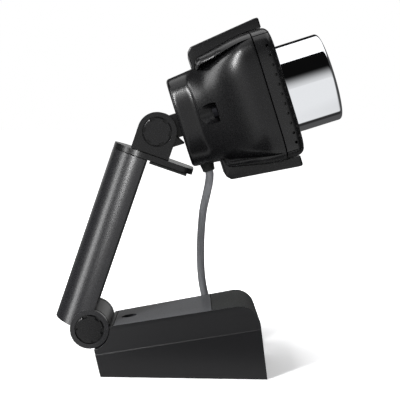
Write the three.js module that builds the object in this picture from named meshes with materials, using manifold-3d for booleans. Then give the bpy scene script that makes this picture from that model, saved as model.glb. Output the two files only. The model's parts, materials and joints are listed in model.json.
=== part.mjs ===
// A desk webcam: a folding clip stand carries a tilting camera head with a focusing lens barrel.
// Millimetres, +Z up, the lens looks along +X, and every hinge axis runs along Y.
import * as THREE from 'three';
import { mergeVertices } from 'three/addons/utils/BufferGeometryUtils.js';
import Module from 'manifold-3d';

const wasm = await Module();
wasm.setup();

// ---------------------------------------------------------------- driving dimensions
const DEGREE = Math.PI / 180;
const GAP = 0.3; // seating gap between neighbouring pieces
const WALL = 2; // moulded wall thickness
const REACH = 200; // longer than anything that is cut

// stand
const LEAN_ANGLE = 19.1 * DEGREE; // arm from the vertical, toward the lens
const LOWER_AXIS_HEIGHT = 19.3; // lower hinge axis above the desk
const HINGE_SPAN = 85.5; // lower hinge axis to tilt hinge axis
const HINGE_RADIUS = 8; // round of both hinge barrels
const HINGE_WIDTH = 32; // lower hinge barrel from face to face
const EAR = 2.8; // ear at each end of a hinge barrel
const PIN_RADIUS = 2;
const CAP_RADIUS = 5.8; // cap that covers each end of a hinge pin
const CAP_DEPTH = 1.2;
const WASHER = 0.6; // friction washer thickness
const WASHER_RADIUS = 5.2;

// base, with x measured from the lower hinge axis
const BASE_FRONT = 72.6; // front edge on the desk
const BASE_REAR = 4.6; // rear edge on the desk
const BASE_REAR_LIFT = 10.2; // height of the rear corner below the hinge
const BASE_REAR_CORNER = 2.2;
const BASE_REAR_WIDTH = 36;
const BASE_FRONT_WIDTH = 46;
const TOP_REAR_HEIGHT = 21; // height of the sloping top where it meets the hinge
const TOP_REAR_X = 9.6;
const TOP_SLOPE = 9.6 * DEGREE;
const NOSE_SLOPE = 7 * DEGREE; // front face from the vertical
const NOSE_RADIUS = 8.5;
const PAD_START = 50.3; // where the smooth top plate ends and the rubber begins
const PAD_FOOT = 12; // lowest reach of the rubber down the nose
const TOP_RIM = 1.2; // shell left showing beside the top plate and the rubber
const TOP_PLATE = 1.4;
const COVER = 1.6; // bottom cover thickness
const FOOT = 0.8; // rubber foot strips below the cover
const FOOT_LENGTH = 6;
const BASE_SCREW_RADIUS = 2.4;
const SOCKET_X = 15.5; // tripod socket in the base top
const SOCKET_RADIUS = 3.2;
const SOCKET_WALL = 1.2;
const SOCKET_DEPTH = 9;

// arm, with x across its thickness and z along it, both from the lower hinge axis
const ARM_FACE = -0.7; // inner face
const ARM_THICKNESS = 15;
const ARM_START = -1.5;
const ARM_WALL = 1.8;
const PLATE_THICKNESS = 2.3;
const PLATE_TOP = 75.7;
const PLATE_REACH = 19; // end of the lip past the hinge line
const PLATE_CORNER = 5;
const GRIP_PAD = 1;
const LIP_PAD_START = 1;
const LIP_PAD_WIDTH = 26;

// tilt bracket
const BRACKET_WIDTH = 30;
const BRACKET_FLANGE = 1.2;
const BRACKET_SCREW_OFFSET = 5;
const BRACKET_SCREW_RADIUS = 1.3;

// camera head, with x along the lens axis and z up, both from the tilt hinge axis
const LENS_PITCH = 17.5 * DEGREE;
const LENS_AXIS = 0.4; // lens axis above the tilt hinge axis
const BOSS_BACK = 9.4;
const BOSS_HALF_WIDTH = 19;
const BOSS_HALF_HEIGHT = 18.8;
const BOSS_END = 20; // where the boss ends above and below
const FLARE_START = 17.5; // where its sides start to flare
const FLARE_HASTE = 0.62; // below 1, the flare is steepest near its start
const PANEL_HALF_WIDTH = 34;
const PANEL_HALF_HEIGHT = 26.6;
const BEZEL_SEAM = 46.5; // seam between rear cover and front bezel
const HEAD_FRONT = 54.2;
const FRONT_ROUND = 3;
const SLAB_WIDTH = 34; // raised centre slabs above and below the head
const SLAB_BACK = 21.2;
const SLAB_FRONT = 52.4;
const SLAB_BACK_HEIGHT = 27.9;
const SLAB_FRONT_HEIGHT = 31.1;
const SLAB_ROUND = 1.6;
const GRILLE = 1.2;
const GRILLE_INNER = 20.5; // grille starts this far from the lens axis
const RIM = 3.3; // band above and below each side that stands proud of the flare
const RIM_BACK = 22.6;
const RIM_BACK_HALF_WIDTH = 27;
const SIDE_SCREW_Y = 24.6; // housing screw channels, one each side
const CHANNEL_RADIUS = 4.2;
const CHANNEL_FLOOR = 25.7;
const NECK_STEM = 5;
const GLAND_X = 15.4; // cord gland along the boss
const GLAND_RADIUS = 2.9;

// lens
const RING_RADIUS = 18.5;
const RING_FRONT = 75;
const RING_WALL = 1.5;
const BOARD_X = 38;
const BOARD = 1.6;
const BOARD_HALF_WIDTH = 19.5;
const BOARD_HALF_HEIGHT = 17;
const BARREL_RADIUS = 7;
const BARREL_BACK = 44;
const BARREL_FRONT = 63;
const WINDOW_X = 65.6;
const WINDOW_RADIUS = 9;
const WINDOW = 1.2;

// cord
const CORD_RADIUS = 1.8;
const COIL_RADIUS = 20; // middle of the turns
const COIL_BAND = 14.4; // four turns side by side
const COIL_HEIGHT = 10.8; // three turns on each other
const COIL_CENTRE = [44, 57];
const PLUG = [24, 11, 7.4];
const PLUG_SHELL = [12, 12, 4.5];

// ---------------------------------------------------------------- finishes
const FINISHES = {
  blackPlastic: { color: 0x1c1c1e, roughness: 0.42, metalness: 0 },
  greyPlastic: { color: 0x3a3b3d, roughness: 0.5, metalness: 0 },
  satinArm: { color: 0x2e2f31, roughness: 0.38, metalness: 0 },
  rubber: { color: 0x232523, roughness: 0.85, metalness: 0 },
  chrome: { color: 0xd9dcdf, roughness: 0.08, metalness: 1 },
  steel: { color: 0x8b8e92, roughness: 0.35, metalness: 1 },
  darkSteel: { color: 0x4a4b4d, roughness: 0.35, metalness: 1 },
  glass: { color: 0x1d2733, roughness: 0.05, metalness: 0 },
  board: { color: 0x1d5a34, roughness: 0.6, metalness: 0 },
  cord: { color: 0x57585a, roughness: 0.55, metalness: 0 },
};

// ---------------------------------------------------------------- solids
/** Turns a closed geometry into a solid that can be cut and joined. */
function solid(geometry) {
  geometry.deleteAttribute('normal');
  geometry.deleteAttribute('uv');
  const merged = mergeVertices(geometry, 1e-4);
  const vertProperties = new Float32Array(merged.attributes.position.array);
  const triVerts = new Uint32Array(merged.index.array);
  return new wasm.Manifold(new wasm.Mesh({ numProp: 3, vertProperties, triVerts }));
}

/** Makes a named mesh from a solid, with its own material. */
function piece(name, body, finish) {
  const { vertProperties, triVerts } = body.getMesh();
  const geometry = new THREE.BufferGeometry();
  geometry.setAttribute('position', new THREE.BufferAttribute(new Float32Array(vertProperties), 3));
  geometry.setIndex(new THREE.BufferAttribute(new Uint32Array(triVerts), 1));
  geometry.computeVertexNormals();
  const mesh = new THREE.Mesh(geometry, new THREE.MeshStandardMaterial(FINISHES[finish]));
  mesh.name = name;
  return mesh;
}

/** Extrudes a shape along Z, without the doubled points where its lines and arcs meet. */
function extruded(shape, depth, curveSegments) {
  const points = shape.getPoints(curveSegments);
  const apart = points.filter((point, i) => point.distanceTo(points.at(i - 1)) > 1e-3);
  return new THREE.ExtrudeGeometry(new THREE.Shape(apart), { depth, bevelEnabled: false });
}

/** A side outline (x, z) given a width along Y. */
function sideways(shape, yLow, yHigh, curveSegments = 10) {
  const geometry = extruded(shape, yHigh - yLow, curveSegments);
  return solid(geometry.rotateX(Math.PI / 2).translate(0, yHigh, 0));
}

/** A plan outline (x, y) given a height along Z. */
function upward(shape, zLow, zHigh, curveSegments = 10) {
  return solid(extruded(shape, zHigh - zLow, curveSegments).translate(0, 0, zLow));
}

function box(x0, x1, y0, y1, z0, z1) {
  const geometry = new THREE.BoxGeometry(x1 - x0, y1 - y0, z1 - z0);
  return solid(geometry.translate((x0 + x1) / 2, (y0 + y1) / 2, (z0 + z1) / 2));
}

/** A cylinder along Y. */
function barrelY(radius, yLow, yHigh, x = 0, z = 0, segments = 32) {
  const geometry = new THREE.CylinderGeometry(radius, radius, yHigh - yLow, segments);
  return solid(geometry.translate(x, (yLow + yHigh) / 2, z));
}

/** A cylinder along X. */
function barrelX(radius, xLow, xHigh, y = 0, z = 0, segments = 18) {
  const geometry = new THREE.CylinderGeometry(radius, radius, xHigh - xLow, segments);
  return solid(geometry.rotateZ(-Math.PI / 2).translate((xLow + xHigh) / 2, y, z));
}

/** A cylinder along Z. */
function barrelZ(radius, zLow, zHigh, x = 0, y = 0, segments = 16) {
  const geometry = new THREE.CylinderGeometry(radius, radius, zHigh - zLow, segments);
  return solid(geometry.rotateX(Math.PI / 2).translate(x, y, (zLow + zHigh) / 2));
}

/** A profile of [radius, x] points turned about the X axis, moved up to the lens axis. */
function turned(profile, segments = 40) {
  const points = profile.map(([radius, x]) => new THREE.Vector2(radius, x));
  const geometry = new THREE.LatheGeometry(points, segments);
  return solid(geometry.rotateZ(-Math.PI / 2).translate(0, 0, LENS_AXIS));
}

/** A screw with its head at headEnd, pointing along +1 or -1 of the given axis. */
function screw(barrel, headRadius, headEnd, direction, length, across, along) {
  const headHeight = headRadius * 0.8;
  const under = headEnd + direction * headHeight;
  const tip = headEnd + direction * length;
  const shankRadius = headRadius * 0.5;
  const head = barrel(headRadius, Math.min(headEnd, under), Math.max(headEnd, under), across, along, 16);
  const shank = barrel(shankRadius, Math.min(headEnd, tip), Math.max(headEnd, tip), across, along, 10);
  const slotEnd = headEnd + direction * headHeight * 0.5;
  const slot = barrel(
    headRadius * 0.35,
    Math.min(headEnd - direction, slotEnd),
    Math.max(headEnd - direction, slotEnd),
    across,
    along,
    4,
  );
  return head.add(shank).subtract(slot);
}

// ---------------------------------------------------------------- hinge parts
/** The pin, caps and friction washers of a hinge whose barrel is width long. */
function hingeHardware(prefix, width, group) {
  const end = width / 2;
  const capBack = end - CAP_DEPTH;
  const pinEnd = capBack - GAP;
  const washerLow = end - EAR - GAP - WASHER;
  group.add(piece(`${prefix}_pin`, barrelY(PIN_RADIUS, -pinEnd, pinEnd, 0, 0, 20), 'steel'));
  for (const [side, hand] of [['left', -1], ['right', 1]]) {
    const capLow = hand > 0 ? capBack : -end;
    let cap = barrelY(CAP_RADIUS, capLow, capLow + CAP_DEPTH);
    for (let slot = 0; slot < 6; slot += 1) {
      const angle = (9 + slot * 60) * DEGREE;
      const notch = box(-0.45, 0.45, -REACH, REACH, -1.5, 1.5).rotate([0, -angle / DEGREE, 0]);
      cap = cap.subtract(notch.translate([CAP_RADIUS * Math.cos(angle), 0, CAP_RADIUS * Math.sin(angle)]));
    }
    group.add(piece(`${prefix}_cap_${side}`, cap, 'blackPlastic'));
    const washerStart = hand > 0 ? washerLow : -washerLow - WASHER;
    const washer = barrelY(WASHER_RADIUS, washerStart, washerStart + WASHER, 0, 0, 24)
      .subtract(barrelY(PIN_RADIUS + GAP, washerStart - 1, washerStart + WASHER + 1, 0, 0, 20));
    group.add(piece(`${prefix}_washer_${side}`, washer, 'steel'));
  }
}

/** Half the width of the knuckle that turns between a hinge's ears and washers. */
function knuckleHalf(width) {
  return width / 2 - EAR - WASHER - 2 * GAP;
}

/** The hole for a pin, and the counterbores for its two caps. */
function pinBores(width) {
  const capSeat = width / 2 - CAP_DEPTH - GAP;
  return barrelY(PIN_RADIUS + GAP, -REACH, REACH, 0, 0, 20)
    .add(barrelY(CAP_RADIUS + GAP, capSeat, REACH))
    .add(barrelY(CAP_RADIUS + GAP, -REACH, -capSeat));
}

// ---------------------------------------------------------------- base
const TOP_NORMAL = [-Math.sin(TOP_SLOPE), Math.cos(TOP_SLOPE)];
const NOSE_NORMAL = [Math.cos(NOSE_SLOPE), Math.sin(NOSE_SLOPE)];

/** The point whose distances along two normals are given. */
function crossing(first, firstDistance, second, secondDistance) {
  const det = first[0] * second[1] - first[1] * second[0];
  return [
    (firstDistance * second[1] - secondDistance * first[1]) / det,
    (first[0] * secondDistance - second[0] * firstDistance) / det,
  ];
}

/** Height of the sloping top above the desk. */
function topHeight(x) {
  return TOP_REAR_HEIGHT + (x - TOP_REAR_X) * Math.tan(TOP_SLOPE);
}

/** The base from the side, with its top, nose and rear moved in by inset. */
function baseOutline(inset, rear = 0) {
  const noseDistance = NOSE_NORMAL[0] * BASE_FRONT;
  const topDistance = TOP_NORMAL[0] * TOP_REAR_X + TOP_NORMAL[1] * TOP_REAR_HEIGHT;
  const [x, z] = crossing(
    NOSE_NORMAL,
    noseDistance - NOSE_RADIUS,
    TOP_NORMAL,
    topDistance - NOSE_RADIUS,
  );
  const shape = new THREE.Shape();
  shape.moveTo(BASE_REAR + rear, 0);
  shape.lineTo(BASE_FRONT - inset / NOSE_NORMAL[0], 0);
  shape.absarc(x, z, NOSE_RADIUS - inset, NOSE_SLOPE, Math.PI / 2 + TOP_SLOPE, false);
  shape.lineTo(rear, topHeight(rear) - inset / TOP_NORMAL[1]);
  shape.lineTo(BASE_REAR_CORNER + rear, BASE_REAR_LIFT);
  return shape;
}

/** Half the base's width at x; the base widens toward its front. */
function baseHalfWidth(x) {
  const share = (x - BASE_REAR) / (BASE_FRONT - BASE_REAR);
  return (BASE_REAR_WIDTH + share * (BASE_FRONT_WIDTH - BASE_REAR_WIDTH)) / 2;
}

/** The base's plan, moved in by inset at its sides. */
function basePlan(inset, zLow, zHigh, from = -HINGE_RADIUS, to = BASE_FRONT + 1) {
  const shape = new THREE.Shape();
  shape.moveTo(from, -baseHalfWidth(from) + inset);
  shape.lineTo(to, -baseHalfWidth(to) + inset);
  shape.lineTo(to, baseHalfWidth(to) - inset);
  shape.lineTo(from, baseHalfWidth(from) - inset);
  return upward(shape, zLow, zHigh);
}

function makeBase() {
  const group = new THREE.Group();
  const height = TOP_REAR_HEIGHT + BASE_FRONT;
  const outer = sideways(baseOutline(0), -REACH, REACH).intersect(basePlan(0, -1, height));
  const axisUp = [0, 0, LOWER_AXIS_HEIGHT];
  const knuckleEnd = knuckleHalf(HINGE_WIDTH);
  const floor = FOOT + COVER + GAP;
  const cavityRear = TOP_REAR_X + WALL;
  const plateFront = PAD_START - GAP;

  // the shell: outline, less the turning room of the arm's ears, plus the hinge knuckle
  const earRoom = barrelY(HINGE_RADIUS + GAP + 0.1, knuckleEnd, REACH)
    .add(barrelY(HINGE_RADIUS + GAP + 0.1, -REACH, -knuckleEnd));
  const washerRoom = barrelY(HINGE_RADIUS, knuckleEnd, REACH)
    .add(barrelY(HINGE_RADIUS, -REACH, -knuckleEnd));
  let shell = outer.subtract(earRoom.translate(axisUp));
  shell = shell.add(barrelY(HINGE_RADIUS, -knuckleEnd, knuckleEnd).translate(axisUp));
  shell = shell.subtract(washerRoom.translate(axisUp));
  const pinHole = barrelY(PIN_RADIUS + GAP, -REACH, REACH, 0, 0, 20);
  shell = shell.subtract(pinHole.translate(axisUp));

  // hollow from below, leaving the top skin under the plate and the rubber
  const skin = WALL + TOP_PLATE + GAP;
  const hollow = sideways(baseOutline(skin, cavityRear), -REACH, REACH)
    .intersect(basePlan(WALL, -1, height));
  shell = shell.subtract(hollow);
  const coverSeat = sideways(baseOutline(1, BASE_REAR_CORNER + 1), -REACH, REACH)
    .intersect(basePlan(1, -1, floor));
  shell = shell.subtract(coverSeat);

  // recess for the top plate and, in front of it, for the rubber that runs down the nose
  const recess = basePlan(TOP_RIM, -1, height, TOP_REAR_X, BASE_FRONT + 1)
    .intersect(box(TOP_REAR_X, REACH, -REACH, REACH, PAD_FOOT, REACH))
    .subtract(sideways(baseOutline(TOP_PLATE + GAP), -REACH, REACH));
  shell = shell.subtract(recess);

  // tripod socket: a boss under the top skin with a steel insert in it
  const socketTop = topHeight(SOCKET_X) - TOP_PLATE - GAP;
  const insertRadius = SOCKET_RADIUS + SOCKET_WALL;
  const bossLow = socketTop - SOCKET_DEPTH;
  shell = shell.add(barrelZ(insertRadius + GAP + WALL, bossLow, socketTop - WALL, SOCKET_X, 0, 28));
  shell = shell.subtract(barrelZ(insertRadius + GAP, bossLow - 1, REACH, SOCKET_X, 0, 28));
  group.add(piece('base_shell', shell, 'greyPlastic'));

  const insert = barrelZ(insertRadius, bossLow, socketTop - 0.8, SOCKET_X, 0, 28)
    .subtract(barrelZ(SOCKET_RADIUS, bossLow - 1, REACH, SOCKET_X, 0, 28));
  group.add(piece('tripod_insert', insert, 'darkSteel'));

  const plateSkin = sideways(baseOutline(0), -REACH, REACH)
    .subtract(sideways(baseOutline(TOP_PLATE), -REACH, REACH));
  const topPlate = plateSkin
    .intersect(basePlan(TOP_RIM + GAP, -1, height, TOP_REAR_X + GAP, plateFront))
    .subtract(barrelZ(SOCKET_RADIUS, 0, REACH, SOCKET_X, 0, 28));
  const above = box(0, REACH, -REACH, REACH, PAD_FOOT, REACH);
  group.add(piece('base_top_plate', topPlate.intersect(above), 'greyPlastic'));
  const rubber = plateSkin
    .intersect(basePlan(TOP_RIM + GAP, -1, height, PAD_START, BASE_FRONT + 1))
    .intersect(box(PAD_START, REACH, -REACH, REACH, PAD_FOOT + GAP, REACH));
  group.add(piece('base_grip_pad', rubber, 'rubber'));

  // bottom cover with its feet, screws and ballast
  const coverLow = FOOT * 0.6;
  const footSeat = FOOT * 0.5;
  let cover = sideways(baseOutline(1 + GAP, BASE_REAR_CORNER + 1 + GAP), -REACH, REACH)
    .intersect(basePlan(1 + GAP, coverLow, floor - GAP));
  const footSpots = [['rear', BASE_REAR + 8], ['front', BASE_FRONT - 12]];
  for (const [place, x] of footSpots) {
    const half = baseHalfWidth(x) - 5;
    const reach = FOOT_LENGTH / 2;
    const footTop = coverLow + footSeat - GAP * 0.5;
    const wide = half + GAP;
    cover = cover.subtract(box(x - reach - GAP, x + reach + GAP, -wide, wide, -1, coverLow + footSeat));
    const foot = box(x - reach, x + reach, -half, half, 0, footTop);
    group.add(piece(`base_foot_${place}`, foot, 'rubber'));
  }
  const screwSpots = [['rear', BASE_REAR + 16], ['front', BASE_FRONT - 22]];
  for (const [place, x] of screwSpots) {
    cover = cover.subtract(barrelZ(BASE_SCREW_RADIUS + GAP, -1, REACH, x, 0));
    const base = coverLow + GAP;
    const body = screw(barrelZ, BASE_SCREW_RADIUS, base, 1, 8, x, 0);
    group.add(piece(`base_screw_${place}`, body, 'steel'));
  }
  group.add(piece('base_bottom_cover', cover, 'blackPlastic'));

  const ballastRear = BASE_REAR + 20;
  const ballastFront = BASE_FRONT - 8;
  const ballastHalf = baseHalfWidth(ballastRear) - WALL - 1;
  let ballast = box(ballastRear, ballastFront, -ballastHalf, ballastHalf, floor, floor + 9);
  ballast = ballast.subtract(barrelZ(BASE_SCREW_RADIUS + GAP, 0, REACH, BASE_FRONT - 22, 0));
  group.add(piece('base_ballast', ballast, 'steel'));
  return group;
}

// ---------------------------------------------------------------- arm, lip and tilt bracket
/** The arm's half-round section in (x, y), moved in by inset, flat on its inner face. */
function armSection(inset, face = ARM_FACE) {
  const shape = new THREE.Shape();
  const halfWidth = HINGE_WIDTH / 2 - inset;
  shape.moveTo(face, halfWidth);
  shape.absellipse(ARM_FACE, 0, ARM_THICKNESS - inset, halfWidth, Math.PI / 2, 1.5 * Math.PI, false);
  shape.lineTo(face, -halfWidth);
  return shape;
}

function makeArm() {
  const group = new THREE.Group();
  const armTop = PLATE_TOP - PLATE_THICKNESS - GAP;
  const half = HINGE_WIDTH / 2;
  const knuckleEnd = knuckleHalf(HINGE_WIDTH);
  const earInner = half - EAR;
  const bracketX = ARM_FACE - 3.5;

  // shell: half-round channel with an ear each side of the lower hinge
  let shell = upward(armSection(0), ARM_START, armTop, 20);
  const channelLow = HINGE_RADIUS + 3;
  const channelHigh = armTop - 3;
  shell = shell.subtract(upward(armSection(ARM_WALL, 1), channelLow, channelHigh, 16));
  shell = shell.subtract(barrelY(HINGE_RADIUS + GAP + 0.1, -earInner, earInner));
  for (const hand of [-1, 1]) {
    const low = hand > 0 ? earInner : -half;
    shell = shell.add(barrelY(HINGE_RADIUS, low, low + EAR));
  }
  shell = shell.subtract(pinBores(HINGE_WIDTH));
  for (const y of [-BRACKET_SCREW_OFFSET, BRACKET_SCREW_OFFSET]) {
    const pilot = barrelZ(BRACKET_SCREW_RADIUS * 0.5 + GAP, channelHigh - 1, REACH, bracketX, y);
    shell = shell.subtract(pilot);
  }
  // seat for the inner cover and the grip pad on it
  const seatDepth = ARM_WALL + GRIP_PAD;
  const seatHalf = half - 2;
  const seatBack = ARM_FACE - seatDepth;
  const coverSeat = box(seatBack, REACH, -seatHalf, seatHalf, channelLow - 1.5, channelHigh + 1.5);
  shell = shell.subtract(coverSeat);
  group.add(piece('arm_shell', shell, 'satinArm'));

  const coverLow = channelLow - 1.5 + GAP;
  const coverHigh = channelHigh + 1.5 - GAP;
  const coverHalf = seatHalf - GAP;
  const coverBack = seatBack + GAP;
  const padBack = ARM_FACE - GRIP_PAD;
  const innerCover = box(coverBack, padBack - GAP, -coverHalf, coverHalf, coverLow, coverHigh);
  const gripPad = box(padBack, ARM_FACE, -coverHalf, coverHalf, coverLow, coverHigh);
  group.add(piece('arm_inner_cover', innerCover, 'blackPlastic'));
  group.add(piece('arm_grip_pad', gripPad, 'rubber'));

  // lip plate: follows the arm's round at the back, rounded corners at the lip end
  const plan = new THREE.Shape();
  plan.moveTo(ARM_FACE, half);
  plan.absellipse(ARM_FACE, 0, ARM_THICKNESS, half, Math.PI / 2, 1.5 * Math.PI, false);
  plan.lineTo(PLATE_REACH - PLATE_CORNER, -half);
  plan.absarc(PLATE_REACH - PLATE_CORNER, -half + PLATE_CORNER, PLATE_CORNER, -Math.PI / 2, 0, false);
  plan.absarc(PLATE_REACH - PLATE_CORNER, half - PLATE_CORNER, PLATE_CORNER, 0, Math.PI / 2, false);
  let plate = upward(plan, PLATE_TOP - PLATE_THICKNESS, PLATE_TOP, 16);
  for (const y of [-BRACKET_SCREW_OFFSET, BRACKET_SCREW_OFFSET]) {
    plate = plate.subtract(barrelZ(BRACKET_SCREW_RADIUS * 0.5 + GAP, 0, REACH, bracketX, y));
  }
  group.add(piece('lip_plate', plate, 'satinArm'));
  const lipTop = PLATE_TOP - PLATE_THICKNESS - GAP;
  const lipHalf = LIP_PAD_WIDTH / 2;
  const lipPad = box(LIP_PAD_START, PLATE_REACH - 2, -lipHalf, lipHalf, lipTop - GRIP_PAD, lipTop);
  group.add(piece('lip_pad', lipPad, 'rubber'));

  // tilt bracket: a flange on the plate with two full-round ears
  const bracketHalf = BRACKET_WIDTH / 2;
  const flangeLow = PLATE_TOP + GAP;
  const ear = new THREE.Shape();
  ear.moveTo(HINGE_RADIUS, flangeLow);
  ear.lineTo(HINGE_RADIUS, HINGE_SPAN);
  ear.absarc(0, HINGE_SPAN, HINGE_RADIUS, 0, Math.PI, false);
  ear.lineTo(-HINGE_RADIUS, flangeLow);
  const flangeTop = flangeLow + BRACKET_FLANGE;
  let bracket = box(-HINGE_RADIUS, HINGE_RADIUS, -bracketHalf, bracketHalf, flangeLow, flangeTop);
  bracket = bracket.add(sideways(ear, bracketHalf - EAR, bracketHalf, 16));
  bracket = bracket.add(sideways(ear, -bracketHalf, -bracketHalf + EAR, 16));
  bracket = bracket.subtract(pinBores(BRACKET_WIDTH).translate([0, 0, HINGE_SPAN]));
  let screwIndex = 0;
  for (const y of [-BRACKET_SCREW_OFFSET, BRACKET_SCREW_OFFSET]) {
    screwIndex += 1;
    bracket = bracket.subtract(barrelZ(BRACKET_SCREW_RADIUS + GAP, 0, flangeLow + 4, bracketX, y));
    const body = screw(barrelZ, BRACKET_SCREW_RADIUS, flangeTop, -1, 6, bracketX, y);
    group.add(piece(`bracket_screw_${screwIndex}`, body, 'steel'));
  }
  group.add(piece('tilt_bracket', bracket, 'blackPlastic'));

  hingeHardware('lower_hinge', HINGE_WIDTH, group);
  const tilt = new THREE.Group();
  tilt.position.set(0, 0, HINGE_SPAN);
  hingeHardware('tilt_hinge', BRACKET_WIDTH, tilt);
  group.add(tilt);
  return group;
}

// ---------------------------------------------------------------- camera head
/** Smooth step from 0 to 1 while x runs from low to high. */
function ease(x, low, high) {
  const share = Math.min(Math.max((x - low) / (high - low), 0), 1);
  return share * share * (3 - 2 * share);
}

/** Half width, half height and squareness of the head at x along the lens axis. */
function headSection(x) {
  const taper = Math.min((x - BOSS_BACK) * 0.1, 1);
  const run = Math.min(Math.max((x - FLARE_START) / (BEZEL_SEAM - FLARE_START), 0), 1);
  const flare = ease(run ** FLARE_HASTE, 0, 1);
  const swell = ease(x, BOSS_END, BOSS_END + 5) * 0.4 + ease(x, BOSS_END, BEZEL_SEAM) * 0.6;
  const widthRun = PANEL_HALF_WIDTH - BOSS_HALF_WIDTH - taper;
  const heightRun = PANEL_HALF_HEIGHT - BOSS_HALF_HEIGHT - taper;
  return {
    halfWidth: BOSS_HALF_WIDTH + taper + widthRun * flare,
    halfHeight: BOSS_HALF_HEIGHT + taper + heightRun * swell,
    squareness: 3.2 + 2.8 * run,
  };
}

/** The section of the rims that frame each side, which stand proud of the flare. */
function rimSection(x) {
  const { halfHeight } = headSection(x);
  const widthRun = PANEL_HALF_WIDTH - RIM_BACK_HALF_WIDTH;
  const share = ease(x, 2 * RIM_BACK - BEZEL_SEAM, BEZEL_SEAM) * 2 - 1;
  return { halfWidth: RIM_BACK_HALF_WIDTH + widthRun * share, halfHeight, squareness: 14 - 8 * share };
}

/** A closed loft of rounded sections along X, moved in by inset. */
function headLoft(from, to, inset, roundFront = false, sectionAt = headSection) {
  const around = 40;
  const stations = [];
  const steps = Math.max(2, Math.round((to - from) / 3.2));
  const roundFrom = roundFront ? to - FRONT_ROUND + inset : to;
  for (let step = 0; step <= steps; step += 1) {
    stations.push([from + (roundFrom - from) * (step / steps), 0]);
  }
  if (roundFront) {
    const radius = FRONT_ROUND - inset;
    for (let step = 1; step <= 3; step += 1) {
      const angle = (step / 3) * (Math.PI / 2);
      stations.push([roundFrom + radius * Math.sin(angle), radius * (1 - Math.cos(angle))]);
    }
  }
  const positions = [];
  for (const [x, shrink] of stations) {
    const { halfWidth, halfHeight, squareness } = sectionAt(x);
    for (let i = 0; i < around; i += 1) {
      const angle = (i / around) * 2 * Math.PI;
      const cos = Math.cos(angle);
      const sin = Math.sin(angle);
      const y = Math.sign(cos) * Math.abs(cos) ** (2 / squareness) * (halfWidth - inset - shrink);
      const z = Math.sign(sin) * Math.abs(sin) ** (2 / squareness) * (halfHeight - inset - shrink);
      positions.push(x, y, z + LENS_AXIS);
    }
  }
  const index = [];
  for (let ring = 0; ring + 1 < stations.length; ring += 1) {
    for (let i = 0; i < around; i += 1) {
      const next = (i + 1) % around;
      const a = ring * around + i;
      const b = ring * around + next;
      index.push(a, b, a + around, b, b + around, a + around);
    }
  }
  const last = (stations.length - 1) * around;
  for (let i = 1; i + 1 < around; i += 1) {
    index.push(0, i + 1, i, last, last + i, last + i + 1);
  }
  const geometry = new THREE.BufferGeometry();
  geometry.setAttribute('position', new THREE.Float32BufferAttribute(positions, 3));
  geometry.setIndex(index);
  return solid(geometry);
}

/** Side outline of the raised centre slab above the head; z is from the lens axis. */
function slabOutline() {
  const shape = new THREE.Shape();
  const low = BOSS_HALF_HEIGHT - 2;
  shape.moveTo(SLAB_BACK, low);
  shape.lineTo(SLAB_FRONT, low);
  shape.lineTo(SLAB_FRONT, SLAB_FRONT_HEIGHT - SLAB_ROUND);
  shape.absarc(SLAB_FRONT - SLAB_ROUND, SLAB_FRONT_HEIGHT - SLAB_ROUND, SLAB_ROUND, 0, Math.PI / 2, false);
  shape.lineTo(SLAB_BACK + SLAB_ROUND, SLAB_BACK_HEIGHT);
  shape.lineTo(SLAB_BACK, SLAB_BACK_HEIGHT - SLAB_ROUND);
  return shape;
}

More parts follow.
